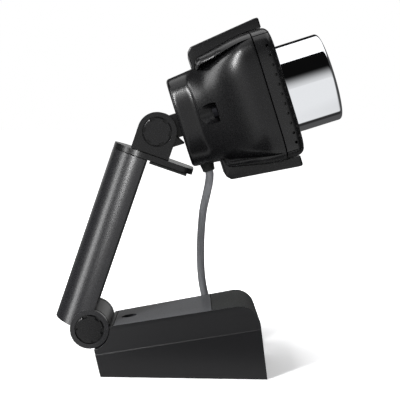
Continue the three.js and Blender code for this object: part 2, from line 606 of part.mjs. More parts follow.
function makeHead() {
  const group = new THREE.Group();
  const screwHead = 2.3;
  const bezelPlate = GRILLE + GAP + 1.2;
  const plateBack = HEAD_FRONT - bezelPlate;

  // neck tongue: turns between the bracket's ears and reaches into the rear cover
  const tongue = new THREE.Shape();
  const neckEnd = BOSS_BACK - GAP;
  tongue.moveTo(neckEnd, HINGE_RADIUS);
  tongue.absarc(0, 0, HINGE_RADIUS, Math.PI / 2, 1.5 * Math.PI, false);
  tongue.lineTo(neckEnd, -HINGE_RADIUS);
  const stemEnd = BOSS_BACK + WALL + 4;
  const tongueHalf = knuckleHalf(BRACKET_WIDTH);
  const neck = sideways(tongue, -tongueHalf, tongueHalf, 16)
    .add(box(0, stemEnd, -NECK_STEM, NECK_STEM, -NECK_STEM, NECK_STEM))
    .subtract(barrelY(PIN_RADIUS + GAP, -REACH, REACH, 0, 0, 20));
  group.add(piece('neck_tongue', neck, 'blackPlastic'));
  const retainerLow = BOSS_BACK + WALL + GAP;
  const retainerHalf = NECK_STEM + 4;
  const retainerHigh = retainerLow + 1.6;
  const retainer = box(retainerLow, retainerHigh, -retainerHalf, retainerHalf, -retainerHalf, retainerHalf)
    .subtract(box(0, REACH, -NECK_STEM - GAP, NECK_STEM + GAP, -NECK_STEM - GAP, NECK_STEM + GAP));
  group.add(piece('neck_retainer', retainer, 'steel'));

  // rear cover: boss and flared body, open at the front
  const seam = BEZEL_SEAM - GAP / 2;
  let rear = headLoft(BOSS_BACK, seam, 0).subtract(headLoft(BOSS_BACK + WALL, seam + 2, WALL));
  const between = (x) => {
    const { halfHeight } = headSection(x);
    return { halfWidth: REACH, halfHeight: halfHeight - RIM, squareness: 40 };
  };
  const rims = headLoft(RIM_BACK, seam, 0, false, rimSection)
    .subtract(headLoft(RIM_BACK - 1, seam + 1, 0, false, between));
  rear = rear.add(rims.subtract(headLoft(BOSS_BACK + WALL, seam + 2, WALL)));
  const channelWall = CHANNEL_RADIUS + 1.4;
  const lug = channelFor(channelWall, BOSS_END - 3, CHANNEL_FLOOR + WALL);
  rear = rear.add(lug.intersect(headLoft(BOSS_BACK, seam, 0)));
  rear = rear.subtract(channelFor(CHANNEL_RADIUS, -REACH, CHANNEL_FLOOR));
  rear = rear.subtract(channelFor(screwHead * 0.5 + GAP, 0, REACH));
  const stemHole = NECK_STEM + GAP;
  rear = rear.subtract(box(0, BOSS_BACK + WALL + 1, -stemHole, stemHole, -stemHole, stemHole));
  rear = rear.subtract(barrelZ(GLAND_RADIUS + GAP, -REACH, 0, GLAND_X, 0));
  group.add(piece('rear_cover', rear, 'blackPlastic'));

  // raised centre slabs, shaped to sit on the body
  const body = headLoft(BOSS_BACK, HEAD_FRONT, -GAP)
    .add(headLoft(RIM_BACK - GAP, BEZEL_SEAM, -GAP, false, rimSection));
  const slab = sideways(slabOutline(), -SLAB_WIDTH / 2, SLAB_WIDTH / 2, 5);
  const upper = slab.translate([0, 0, LENS_AXIS]).subtract(body);
  const lower = slab.mirror([0, 0, 1]).translate([0, 0, LENS_AXIS]).subtract(body);
  group.add(piece('top_slab', upper, 'blackPlastic'));
  group.add(piece('bottom_slab', lower, 'blackPlastic'));

  // front bezel with its screw posts, board posts and the pockets for the grilles
  const bezelBack = BEZEL_SEAM + GAP / 2;
  const bezelOuter = headLoft(bezelBack, HEAD_FRONT, 0, true);
  let bezel = bezelOuter.subtract(headLoft(bezelBack - 2, plateBack, GRILLE + GAP + 1.2));
  const inside = headLoft(BOSS_BACK + WALL, plateBack + 0.5, WALL + GAP);
  const postBack = CHANNEL_FLOOR + WALL + GAP;
  for (const hand of [-1, 1]) {
    const y = hand * SIDE_SCREW_Y;
    const post = barrelX(screwHead * 0.5 + 2, postBack, plateBack + 0.5, y, LENS_AXIS);
    bezel = bezel.add(post.intersect(inside));
    bezel = bezel.subtract(barrelX(screwHead * 0.5 + GAP, 0, plateBack - 6, y, LENS_AXIS));
  }
  const boardPostX = BOARD_X + BOARD + GAP;
  const boardSpots = [[-14, 14], [14, -14]];
  for (const [y, z] of boardSpots) {
    bezel = bezel.add(barrelX(3, boardPostX, plateBack + 0.5, y, z + LENS_AXIS));
    bezel = bezel.subtract(barrelX(1.2 + GAP, 0, plateBack - 3, y, z + LENS_AXIS));
  }
  const ringHole = RING_RADIUS - 1 + GAP;
  bezel = bezel.subtract(turned([[0, 0], [ringHole, 0], [ringHole, REACH], [0, REACH]]));
  const grilleRoom = (inset, clearance) => {
    const high = PANEL_HALF_HEIGHT - RIM + clearance;
    const inner = GRILLE_INNER - clearance;
    const window = box(bezelBack - clearance, REACH, inner, REACH, LENS_AXIS - high, LENS_AXIS + high);
    return window.subtract(headLoft(bezelBack - 2, HEAD_FRONT - inset, inset, true));
  };
  const pocket = grilleRoom(GRILLE + GAP, GAP);
  bezel = bezel.subtract(pocket).subtract(pocket.mirror([0, 1, 0]));
  group.add(piece('front_bezel', bezel, 'blackPlastic'));
  const grille = grilleRoom(GRILLE, 0).intersect(bezelOuter);
  group.add(piece('grille_right', grille, 'blackPlastic'));
  group.add(piece('grille_left', grille.mirror([0, 1, 0]), 'blackPlastic'));

  // microphones behind the grilles, and the two housing screws in their channels
  for (const [side, hand] of [['left', -1], ['right', 1]]) {
    const micFront = plateBack - GAP;
    const capsule = barrelX(2.8, micFront - 2.4, micFront, hand * 26, LENS_AXIS + 9);
    group.add(piece(`microphone_${side}`, capsule, 'steel'));
    const headEnd = CHANNEL_FLOOR - screwHead * 0.8 - GAP;
    const body = screw(barrelX, screwHead, headEnd, 1, 16, hand * SIDE_SCREW_Y, LENS_AXIS);
    group.add(piece(`housing_screw_${side}`, body, 'steel'));
  }

  // board, sensor, filter and lens mount
  const boardLow = LENS_AXIS - BOARD_HALF_HEIGHT;
  const boardHigh = LENS_AXIS + BOARD_HALF_HEIGHT;
  const boardFront = BOARD_X + BOARD;
  let board = box(BOARD_X, boardFront, -BOARD_HALF_WIDTH, BOARD_HALF_WIDTH, boardLow, boardHigh);
  let boardScrew = 0;
  for (const [y, z] of boardSpots) {
    boardScrew += 1;
    board = board.subtract(barrelX(1.2 + GAP, 0, REACH, y, z + LENS_AXIS, 16));
    const body = screw(barrelX, 2.4, BOARD_X - 2.4 * 0.8 - GAP, 1, 9, y, z + LENS_AXIS);
    group.add(piece(`board_screw_${boardScrew}`, body, 'steel'));
  }
  group.add(piece('main_board', board, 'board'));
  const chipLow = BOARD_X + BOARD + GAP;
  const chip = box(chipLow, chipLow + 1.2, -4, 4, LENS_AXIS - 3.5, LENS_AXIS + 3.5);
  group.add(piece('image_sensor', chip, 'glass'));
  const filterLow = chipLow + 1.2 + GAP;
  const filter = box(filterLow, filterLow + 0.6, -4, 4, LENS_AXIS - 4, LENS_AXIS + 4);
  group.add(piece('infrared_filter', filter, 'glass'));
  const mountBack = chipLow;
  const mountFront = plateBack;
  const mount = turned([
    [BARREL_RADIUS + GAP, mountBack],
    [BARREL_RADIUS + GAP + 2, mountBack],
    [BARREL_RADIUS + GAP + 2, mountFront],
    [BARREL_RADIUS + GAP, mountFront],
    [BARREL_RADIUS + GAP, mountBack],
  ], 32);
  const shelfHalf = BARREL_RADIUS + 1;
  const shelf = box(filterLow - 0.1, filterLow + 0.7, -shelfHalf, shelfHalf, LENS_AXIS - 2, LENS_AXIS + 2)
    .subtract(box(0, REACH, -4 - GAP, 4 + GAP, -REACH, REACH));
  group.add(piece('lens_mount', mount.add(shelf), 'blackPlastic'));

  // gland in the underside of the boss
  const glandTop = LENS_AXIS - BOSS_HALF_HEIGHT + WALL + 1;
  const glandLow = LENS_AXIS - BOSS_HALF_HEIGHT - 3;
  const gland = barrelZ(GLAND_RADIUS, glandLow, glandTop, GLAND_X, 0)
    .add(barrelZ(GLAND_RADIUS + 0.8, glandTop, glandTop + 1.2, GLAND_X, 0));
  group.add(piece('cord_gland', gland, 'rubber'));
  return group;
}

/** Both housing screw channels, as bars along the lens axis. */
function channelFor(radius, from, to) {
  return barrelX(radius, from, to, -SIDE_SCREW_Y, LENS_AXIS)
    .add(barrelX(radius, from, to, SIDE_SCREW_Y, LENS_AXIS));
}

function makeFocusRing() {
  const group = new THREE.Group();
  const back = HEAD_FRONT + GAP + 0.1;
  const neck = RING_RADIUS - 1;
  const neckBack = HEAD_FRONT - 2.4;
  const rim = 1.4;
  const bore = RING_RADIUS - RING_WALL - 0.6;
  const ring = turned([
    [bore, neckBack],
    [neck, neckBack],
    [neck, back],
    [RING_RADIUS, back],
    [RING_RADIUS, RING_FRONT - rim],
    [RING_RADIUS - rim * 0.3, RING_FRONT - rim * 0.3],
    [RING_RADIUS - rim, RING_FRONT],
    [bore + 0.4, RING_FRONT],
    [bore, RING_FRONT - 0.6],
    [bore, neckBack],
  ], 56);
  group.add(piece('focus_ring', ring, 'chrome'));
  const sleeveOuter = bore - GAP;
  const sleeveFront = RING_FRONT - 1;
  const lipRadius = WINDOW_RADIUS - 1.2;
  const sleeve = turned([
    [WINDOW_RADIUS + GAP, WINDOW_X],
    [sleeveOuter - 1.5, WINDOW_X],
    [sleeveOuter - 1.5, neckBack],
    [sleeveOuter, neckBack],
    [sleeveOuter, sleeveFront],
    [sleeveOuter - 1.2, sleeveFront],
    [lipRadius, WINDOW_X + WINDOW + GAP + 0.8],
    [lipRadius, WINDOW_X + WINDOW + GAP],
    [WINDOW_RADIUS + GAP, WINDOW_X + WINDOW + GAP],
    [WINDOW_RADIUS + GAP, WINDOW_X],
  ], 36);
  group.add(piece('focus_sleeve', sleeve, 'blackPlastic'));
  const paneFront = WINDOW_X + WINDOW;
  const pane = turned(
    [[0, WINDOW_X], [WINDOW_RADIUS, WINDOW_X], [WINDOW_RADIUS, paneFront], [0, paneFront]],
    40,
  );
  group.add(piece('front_window', pane, 'glass'));
  return group;
}

function makeLensCell() {
  const group = new THREE.Group();
  const glassRadius = BARREL_RADIUS - 1.4;
  const seat = BARREL_FRONT - 3.4;
  const barrel = turned([
    [glassRadius - 0.8, BARREL_BACK],
    [BARREL_RADIUS, BARREL_BACK],
    [BARREL_RADIUS, BARREL_FRONT],
    [glassRadius + GAP, BARREL_FRONT],
    [glassRadius + GAP, seat],
    [glassRadius - 0.8, seat],
    [glassRadius - 0.8, BARREL_BACK],
  ], 36);
  group.add(piece('lens_barrel', barrel, 'blackPlastic'));
  const dome = [[0, seat + GAP], [glassRadius, seat + GAP], [glassRadius, seat + 1.8]];
  for (let step = 1; step <= 5; step += 1) {
    const angle = (step / 5) * (Math.PI / 2);
    dome.push([glassRadius * Math.cos(angle), seat + 1.8 + 1.4 * Math.sin(angle)]);
  }
  dome[dome.length - 1][0] = 0;
  group.add(piece('lens_front_element', turned(dome, 32), 'glass'));
  const rearRadius = glassRadius - 0.8 - GAP;
  const rearAt = BARREL_BACK + 3;
  const rear = turned([[0, rearAt], [rearRadius, rearAt], [rearRadius, rearAt + 2], [0, rearAt + 2.8]], 28);
  group.add(piece('lens_rear_element', rear, 'glass'));
  return group;
}

// ---------------------------------------------------------------- cord
/** A round cord along hand-chosen points. */
function cordTube(points, steps) {
  const curve = new THREE.CatmullRomCurve3(points.map((p) => new THREE.Vector3(...p)), false, 'centripetal');
  const section = new THREE.Shape();
  const sides = 8;
  for (let i = 0; i < sides; i += 1) {
    const angle = (i / sides) * 2 * Math.PI;
    const x = CORD_RADIUS * Math.cos(angle);
    const y = CORD_RADIUS * Math.sin(angle);
    if (i === 0) section.moveTo(x, y);
    else section.lineTo(x, y);
  }
  return solid(new THREE.ExtrudeGeometry(section, { steps, bevelEnabled: false, extrudePath: curve }));
}

// The lead hangs from the gland, clears the back of the base and runs along the desk to the coil.
const LEAD_POINTS = [
  [49.2, 0, 84],
  [49.55, 0, 82.3],
  [49.5, 0.3, 80.3],
  [49.2, 1.2, 77.9],
  [48.7, 3.1, 75.3],
  [48.2, 6, 72.6],
  [47.7, 9.7, 69.9],
  [47.2, 13.8, 67],
  [46.8, 17.9, 63.6],
  [46.5, 21.5, 59.6],
  [46.2, 24.2, 55],
  [46, 25.8, 49.6],
  [46, 26.6, 43.6],
  [46.2, 26.9, 37.4],
  [46.9, 26.9, 31.2],
  [48.4, 26.9, 24.8],
  [51.2, 26.9, 18.4],
  [55.2, 26.9, 12.6],
  [60, 27.6, 8],
  [64.9, 29.9, 4.6],
  [69.2, 33.8, 2.6],
  [72, 38.9, 1.9],
  [73.2, 45, 1.9],
  [73.4, 50, 1.9],
  [73.3, 55, 1.9],
];
// The tail leaves the far side of the coil and runs into the plug that lies behind it.
const TAIL_POINTS = [
  [54, 84.6, 1.9],
  [48.5, 86.4, 1.9],
  [43, 87.5, 2.2],
  [37.5, 88, 3],
  [34, 88, 3.5],
  [31.3, 88, 3.7],
];
const PLUG_ANCHOR = [31, 88];

function makeCord() {
  const group = new THREE.Group();
  group.add(piece('cord_lead', cordTube(LEAD_POINTS, 38), 'cord'));
  group.add(piece('cord_tail', cordTube(TAIL_POINTS, 6), 'cord'));
  const inner = COIL_RADIUS - COIL_BAND / 2;
  const outer = COIL_RADIUS + COIL_BAND / 2;
  const profile = [[inner, 0.1], [outer, 0.1], [outer, COIL_HEIGHT], [inner, COIL_HEIGHT], [inner, 0.1]];
  const points = profile.map(([radius, z]) => new THREE.Vector2(radius, z));
  const ring = solid(new THREE.LatheGeometry(points, 40).rotateX(Math.PI / 2));
  group.add(piece('cord_coil', ring.translate([COIL_CENTRE[0], COIL_CENTRE[1], 0]), 'cord'));
  const [plugX, plugY] = PLUG_ANCHOR;
  const half = PLUG[1] / 2;
  const plug = box(plugX - PLUG[0], plugX, plugY - half, plugY + half, 0, PLUG[2]);
  const shellHalf = PLUG_SHELL[1] / 2 - 0.6;
  const shellFrom = plugX - PLUG[0] - GAP;
  const mid = PLUG[2] / 2;
  const shellEnd = shellFrom - PLUG_SHELL[0];
  const shellTop = mid + PLUG_SHELL[2] / 2;
  const shell = box(shellEnd, shellFrom, plugY - shellHalf, plugY + shellHalf, PLUG[2] - shellTop, shellTop);
  const skin = 0.5;
  const mouthHalf = shellHalf - skin;
  const mouth = box(shellEnd - 1, shellFrom - 3, plugY - mouthHalf, plugY + mouthHalf, mid, shellTop - skin);
  group.add(piece('plug_body', plug, 'blackPlastic'));
  group.add(piece('plug_shell', shell.subtract(mouth), 'steel'));
  return group;
}

// ---------------------------------------------------------------- assembly
const webcam = new THREE.Group();
const stand = new THREE.Group();
webcam.add(stand);
stand.add(makeBase());

const arm = makeArm();
arm.position.set(0, 0, LOWER_AXIS_HEIGHT);
arm.rotation.y = LEAN_ANGLE;
stand.add(arm);

const head = makeHead();
head.add(makeFocusRing());
head.add(makeLensCell());
head.position.set(
  HINGE_SPAN * Math.sin(LEAN_ANGLE),
  0,
  LOWER_AXIS_HEIGHT + HINGE_SPAN * Math.cos(LEAN_ANGLE),
);
head.rotation.y = -LENS_PITCH;
stand.add(head);

// the origin is the middle of the model's footprint, on the desk
stand.updateMatrixWorld(true);
const size = new THREE.Box3().setFromObject(stand, true);
stand.add(makeCord());
stand.position.x = -(size.min.x + size.max.x) / 2;

export default webcam;
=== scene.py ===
"""A desk webcam on a folding clip stand, built piece by piece around its packed CAD frame."""

import json
import math

import bmesh
import bpy
from bpy.props import FloatProperty, FloatVectorProperty, IntProperty, PointerProperty
from mathutils import Matrix, Vector


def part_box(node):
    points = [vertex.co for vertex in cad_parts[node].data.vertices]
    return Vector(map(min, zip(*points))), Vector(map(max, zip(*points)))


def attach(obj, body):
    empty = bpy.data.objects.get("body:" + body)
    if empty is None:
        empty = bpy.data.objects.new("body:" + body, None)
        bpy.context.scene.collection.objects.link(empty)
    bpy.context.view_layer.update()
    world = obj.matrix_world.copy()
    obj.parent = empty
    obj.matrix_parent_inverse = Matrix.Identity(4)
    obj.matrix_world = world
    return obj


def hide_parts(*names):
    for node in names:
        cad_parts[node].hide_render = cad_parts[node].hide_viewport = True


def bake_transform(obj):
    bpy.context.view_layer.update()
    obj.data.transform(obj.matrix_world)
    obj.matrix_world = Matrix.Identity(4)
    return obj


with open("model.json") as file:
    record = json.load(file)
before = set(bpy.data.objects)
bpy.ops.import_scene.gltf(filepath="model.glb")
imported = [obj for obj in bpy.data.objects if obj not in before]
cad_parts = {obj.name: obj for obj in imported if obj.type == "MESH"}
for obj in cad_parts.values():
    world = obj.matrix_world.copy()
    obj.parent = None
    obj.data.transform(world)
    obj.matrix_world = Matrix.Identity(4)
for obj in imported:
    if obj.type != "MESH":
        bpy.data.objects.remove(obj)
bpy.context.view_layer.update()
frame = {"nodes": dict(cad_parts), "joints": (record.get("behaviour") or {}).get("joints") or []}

bl_info = {
    "name": "Desk webcam",
    "version": (1, 0, 0),
    "blender": (4, 5, 0),
    "location": "View3D > Sidebar > Webcam",
    "description": "Builds a clip-stand webcam around its packed frame",
    "category": "Add Mesh",
}

MM = 0.001
TURN = 2 * math.pi
JOINTS = {joint["name"]: joint for joint in frame["joints"]}
FOLD_AT = Vector(JOINTS["fold_hinge"]["pos_m"])
TILT_AT = Vector(JOINTS["tilt_hinge"]["pos_m"])
LENS_WAY = Vector(JOINTS["focus_turn"]["axis"])
PITCH = math.atan2(LENS_WAY.z, LENS_WAY.x)

# Local frames in millimetres: the base from the lower hinge on the desk, the head from the tilt hinge.
BASE = Matrix.Translation((FOLD_AT.x, 0, 0)) @ Matrix.Scale(MM, 4)
HEAD = Matrix.Translation(TILT_AT) @ Matrix.Rotation(-PITCH, 4, "Y") @ Matrix.Scale(MM, 4)
ROW = Matrix.Scale(MM, 4)


# ---------------------------------------------------------------- sizes and colours
def linear(code):
    """An sRGB hex colour as linear red, green and blue."""
    parts = [int(code[i : i + 2], 16) / 255 for i in (1, 3, 5)]
    return [c / 12.92 if c <= 0.04045 else ((c + 0.055) / 1.055) ** 2.4 for c in parts]


def size(name, description, default, low=0.01, high=200.0):
    """A length in millimetres for a property group."""
    return FloatProperty(name=name, description=description, default=default, min=low, max=high)


def tint(name, description, code):
    """A colour for a property group."""
    return FloatVectorProperty(
        name=name,
        description=description,
        subtype="COLOR",
        size=3,
        min=0,
        max=1,
        default=linear(code),
    )


class HeadSizes(bpy.types.PropertyGroup):
    """Sizes of the camera head, in millimetres from the tilt hinge."""

    lens_axis: size("Lens axis", "Lens axis above the tilt hinge", 0.4)
    back: size("Back", "Back face of the boss", 9.4)
    flare_start: size("Flare start", "Where the sides start to flare", 17.5)
    seam: size("Seam", "Seam between rear cover and bezel", 46.5)
    front: size("Front", "Front face", 54.2)
    half_width: size("Half width", "Half width of the front", 34)
    half_height: size("Half height", "Half height of the front", 26.6)
    boss_half_width: size("Boss half width", "Half width of the boss", 19)
    boss_half_height: size("Boss half height", "Half height of the boss", 18.8)
    rim: size("Rim", "Height of the bands above and below each side", 3.3)
    rim_back: size("Rim back", "Where those bands begin", 22.6)
    rim_half_width: size("Rim half width", "Half width of the bands at their back", 27)
    wall: size("Wall", "Moulded wall", 2)
    grille_inner: size("Grille inner", "Where each grille starts from the lens axis", 20.5)
    hole: size("Hole", "Diameter of a grille perforation", 1.2)
    hole_pitch: size("Hole pitch", "Spacing of the perforations", 3.9)


class LensSizes(bpy.types.PropertyGroup):
    """Sizes of the focusing barrel, in millimetres from the tilt hinge."""

    radius: size("Ring radius", "Outer radius of the chrome ring", 18.5)
    front: size("Ring front", "Front of the chrome ring", 75)
    wall: size("Ring wall", "Wall of the chrome ring", 2.1)
    window: size("Window", "Back of the front window", 65.6)
    window_radius: size("Window radius", "Radius of the front window", 9)


class CordSizes(bpy.types.PropertyGroup):
    """Sizes of the cord, in millimetres."""

    diameter: size("Diameter", "Outer diameter of the jacket", 3.5)
    coil_radius: size("Coil radius", "Middle radius of the coil", 20)
    spacing: size("Spacing", "Distance between neighbouring turns", 3.6)
    sides: IntProperty(name="Sides", description="Faces round the jacket", default=14, min=8, max=32)


class Finishes(bpy.types.PropertyGroup):
    """Colours of the finishes."""

    housing: tint("Housing", "Black moulded head", "#0a0a0b")
    shell: tint("Base shell", "Charcoal base sides", "#0c0c0e")
    plate: tint("Top plate", "Smooth grey plate", "#434447")
    arm: tint("Arm", "Satin arm", "#151517")
    rubber: tint("Rubber", "Grip pads", "#141615")
    chrome: tint("Chrome", "Focusing ring", "#e9ebee")
    steel: tint("Steel", "Pins and screws", "#9a9da1")
    cord: tint("Cord", "Cord jacket", "#6a6b6e")
    board: tint("Board", "Circuit board", "#1c5a35")
    floor: tint("Floor", "Studio floor", "#f6f6f7")


# ---------------------------------------------------------------- materials
def node(tree, kind, settings=None, links=None):
    """Adds a node, sets its inputs or properties, and links its inputs."""
    made = tree.nodes.new(kind)
    for name, value in (settings or {}).items():
        if isinstance(name, int) or name in made.inputs:
            made.inputs[name].default_value = value
        else:
            setattr(made, name, value)
    for name, source in (links or {}).items():
        tree.links.new(source, made.inputs[name])
    return made


MADE = {}


def noise(tree, place, grain, detail, roughness=0.5):
    """Noise with a grain of a real size in millimetres."""
    settings = {"Scale": 1 / (grain * MM), "Detail": detail, "Roughness": roughness}
    return node(tree, "ShaderNodeTexNoise", settings, {"Vector": place}).outputs["Fac"]


def relief(tree, height, strength, depth):
    """A bump of a real depth in millimetres under a material's shader."""
    settings = {"Strength": strength, "Distance": depth * MM}
    bump = node(tree, "ShaderNodeBump", settings, {"Height": height})
    tree.links.new(bump.outputs["Normal"], tree.nodes["Principled BSDF"].inputs["Normal"])


def finish(name, colour, roughness, metallic=0.0, grain=0.3, depth=0.02, mottle=0.06, **extra):
    """A procedural material: colour and gloss that vary a little, over a fine grain."""
    if name in MADE:
        return MADE[name]
    material = bpy.data.materials.new(name)
    material.use_nodes = True
    tree = material.node_tree
    shader = tree.nodes["Principled BSDF"]
    place = node(tree, "ShaderNodeTexCoord").outputs["Object"]
    cloud = noise(tree, place, 28, 4.0, 0.55)
    fine = noise(tree, place, grain, 2.0)
    low = [c * (1 - mottle) for c in colour] + [1]
    high = [min(1, c * (1 + mottle)) for c in colour] + [1]
    shade = node(tree, "ShaderNodeMix", {"data_type": "RGBA"})
    shade.inputs[6].default_value = low
    shade.inputs[7].default_value = high
    tree.links.new(cloud, shade.inputs[0])
    tree.links.new(shade.outputs[2], shader.inputs["Base Color"])
    settings = {"From Min": 0.3, "From Max": 0.7, "To Min": roughness * 0.88, "To Max": roughness * 1.12}
    gloss = node(tree, "ShaderNodeMapRange", settings, {"Value": fine})
    tree.links.new(gloss.outputs["Result"], shader.inputs["Roughness"])
    if depth:
        relief(tree, fine, 0.6, depth)
    shader.inputs["Metallic"].default_value = metallic
    for key, value in extra.items():
        shader.inputs[key.replace("_", " ")].default_value = value
    MADE[name] = material
    return material


def brushed(name, colour, roughness, stretch):
    """A turned or drawn metal: fine lines round or along the piece from a stretched noise."""
    if name in MADE:
        return MADE[name]
    material = finish(name, colour, roughness, metallic=1.0, grain=0.5, depth=0)
    tree = material.node_tree
    place = node(tree, "ShaderNodeTexCoord").outputs["Object"]
    drawn = node(tree, "ShaderNodeMapping", {"Scale": stretch}, {"Vector": place})
    relief(tree, noise(tree, drawn.outputs[0], 1, 3.0), 0.25, 0.01)
    return material


def board_finish(name, colour):
    """Solder mask over copper: raised tracks from a brick pattern under a glossy green film."""
    if name in MADE:
        return MADE[name]
    material = finish(name, colour, 0.35, grain=0.4, depth=0)
    tree = material.node_tree
    place = node(tree, "ShaderNodeTexCoord").outputs["Object"]
    face_on = {"Rotation": (0, math.pi / 2 - PITCH, math.pi / 2)}
    flat = node(tree, "ShaderNodeMapping", face_on, {"Vector": place})
    settings = {"Scale": 1 / (6 * MM), "Mortar Size": 0.06}
    for socket, share in (("Color1", 1), ("Color2", 0.8), ("Mortar", 1.7)):
        settings[socket] = [c * share for c in colour] + [1]
    tracks = node(tree, "ShaderNodeTexBrick", settings, {"Vector": flat.outputs[0]})
    tree.links.new(tracks.outputs["Color"], tree.nodes["Principled BSDF"].inputs["Base Color"])
    return material


def glass_finish(name, colour, roughness=0.02, transmission=1.0):
    """Coated optical glass: clear, with a faint violet film that glows at a glance."""
    if name in MADE:
        return MADE[name]
    material = finish(name, colour, roughness, grain=2.0, depth=0, mottle=0.02)
    shader = material.node_tree.nodes["Principled BSDF"]
    shader.inputs["IOR"].default_value = 1.52
    shader.inputs["Transmission Weight"].default_value = transmission
    shader.inputs["Coat Weight"].default_value = 0.6
    shader.inputs["Coat Tint"].default_value = linear("#8f7bd8") + [1]
    return material


# Each kind of surface: its maker, name, colour (a tint above or a hex colour), further values and options.
FINISHES = {
    # Moulded ABS with a fine spark texture: near black, with broad soft highlights.
    "housing": (
        finish, "black_abs", "housing", 0.27,
        {"grain": 0.35, "depth": 0.008, "Specular_IOR_Level": 0.33},
    ),
    # Smoother mould polish on the bezel, a little glossier than the rear cover.
    "bezel": (
        finish, "black_abs_polished", "housing", 0.26,
        {"grain": 0.4, "depth": 0.006, "Specular_IOR_Level": 0.42},
    ),
    # Fine charcoal ABS: even and slightly grainy.
    "shell": (
        finish, "charcoal_abs_textured", "shell", 0.34,
        {"grain": 0.4, "depth": 0.004, "Specular_IOR_Level": 0.33},
    ),
    # Smooth satin ABS insert that catches the light behind it.
    "plate": (
        finish, "grey_abs_satin", "plate", 0.4,
        {"grain": 0.5, "depth": 0.006, "Specular_IOR_Level": 0.42},
    ),
    # Painted satin over ABS: one long soft highlight.
    "arm": (finish, "satin_paint", "arm", 0.28, {"grain": 0.3, "depth": 0.003, "Specular_IOR_Level": 0.45}),
    # Moulded elastomer: matt, faintly green, with a pebbled grain of about half a millimetre.
    "rubber": (finish, "moulded_rubber", "rubber", 0.72, {"grain": 0.55, "depth": 0.09, "mottle": 0.12}),
    # Electroplated chrome over polished ABS: mirror bright, with only a trace of waviness.
    "chrome": (
        finish, "bright_chrome_plate", "chrome", 0.045,
        {"metallic": 1.0, "grain": 6.0, "depth": 0.004, "mottle": 0.01},
    ),
    "steel": (brushed, "turned_steel", "steel", 0.32, (1, 0.15, 1), {}),
    "dark_steel": (brushed, "blackened_steel", "#3a3b3e", 0.42, (1, 1, 0.2), {}),
    "nickel": (brushed, "nickel_plated_steel", "#c3c4c4", 0.22, (0.2, 1, 1), {}),
    "black_screw": (brushed, "black_oxide_steel", "#242427", 0.4, (1, 1, 1), {}),
    "jacket": (finish, "grey_pvc_jacket", "cord", 0.42, {"grain": 0.6, "depth": 0.01}),
    "plug": (finish, "black_pvc_overmould", "#1b1b1d", 0.5, {"grain": 0.4, "depth": 0.02}),
    "tie": (finish, "black_nylon_tie", "#161618", 0.6, {"grain": 0.3, "depth": 0.03}),
    "glass": (glass_finish, "coated_window_glass", "#e8eef2", {}),
    "lens": (glass_finish, "coated_lens_glass", "#10131c", {"transmission": 0.0}),
    "filter": (glass_finish, "infrared_filter_glass", "#9fd6cf", {}),
    "sensor": (finish, "sensor_die", "#1d1a2a", 0.12, {"grain": 0.2, "depth": 0.0, "mottle": 0.2}),
    "board": (board_finish, "solder_mask", "board", {}),
    "microphone": (brushed, "capsule_aluminium", "#b7babd", 0.3, (1, 1, 1), {}),
    # The studio's floor, which glows as painted light, and the card that paints a dark reflection into what
    # the foot mirrors.
    "floor": (finish, "matt_white_vinyl", "floor", 0.9, {"grain": 1.5, "depth": 0, "mottle": 0.0}),
    # Painted reflection: pure black for the card that shows only in reflections.
    "felt": (finish, "black_felt", "#050505", 0.9, {"grain": 1.0, "depth": 0, "mottle": 0.0}),
}  # fmt: skip


def finish_for(kind):
    """The finish of each kind of surface on this webcam."""
    maker, name, tone, *values, options = FINISHES[kind]
    if not tone.startswith("#"):
        colour = list(getattr(bpy.context.scene.webcam_finishes, tone))
    else:
        colour = linear(tone)
    return maker(name, colour, *values, **options)


# ---------------------------------------------------------------- meshes
def link(name, data):
    """A new object in the scene."""
    obj = bpy.data.objects.new(name, data)
    bpy.context.scene.collection.objects.link(obj)
    return obj


def to_mesh(name, shape):
    """Moves a working mesh into a mesh of its own."""
    mesh = bpy.data.meshes.new(name)
    shape.to_mesh(mesh)
    shape.free()
    return mesh


def bridge(shape, one, two):
    """Joins two rings of points with a band of faces; a ring that is a single point gives triangles."""
    for i in range(len(one)):
        j = (i + 1) % len(one)
        corners = list(dict.fromkeys((one[i], one[j], two[j], two[i])))
        if len(corners) > 2:
            shape.faces.new(corners)


def capped(shape, rings):
    """Closes rings of points into a solid: a band between neighbours, and a face at each end."""
    for one, two in zip(rings, rings[1:]):
        bridge(shape, one, two)
    shape.faces.new(rings[0])
    shape.faces.new(rings[-1])
    return shape


def mirrored(shape, across):
    """Mirrors a mesh across one axis and keeps its faces outwards."""
    bmesh.ops.scale(shape, vec=[-1 if axis == across else 1 for axis in "XYZ"], verts=shape.verts)
    bmesh.ops.reverse_faces(shape, faces=shape.faces)
    return shape


def settle(shape, weld=1e-4):
    """Merges doubled points and turns every face outwards."""
    bmesh.ops.remove_doubles(shape, verts=shape.verts, dist=weld)
    bmesh.ops.dissolve_degenerate(shape, edges=shape.edges, dist=weld)
    bmesh.ops.recalc_face_normals(shape, faces=shape.faces)
    return shape


def prism(points, low, high, axis="Y"):
    """A closed outline given a depth along one axis."""
    shape = bmesh.new()

    def at(point, depth):
        a, b = point
        return {"Y": (a, depth, b), "Z": (a, b, depth), "X": (depth, a, b)}[axis]

    return settle(capped(shape, [[shape.verts.new(at(p, depth)) for p in points] for depth in (low, high)]))


def fillet(points, radius, steps=5):
    """A closed outline with its corners rounded."""
    made = []
    count = len(points)
    for i, point in enumerate(points):
        here = Vector(point)
        back = Vector(points[i - 1]) - here
        ahead = Vector(points[(i + 1) % count]) - here
        opening = back.angle(ahead)
        reach = min(radius / math.tan(opening / 2), back.length * 0.49, ahead.length * 0.49)
        start = here + back.normalized() * reach
        end = here + ahead.normalized() * reach
        for step in range(steps + 1):
            t = step / steps
            made.append(tuple((1 - t) ** 2 * start + 2 * t * (1 - t) * here + t * t * end))
    return made


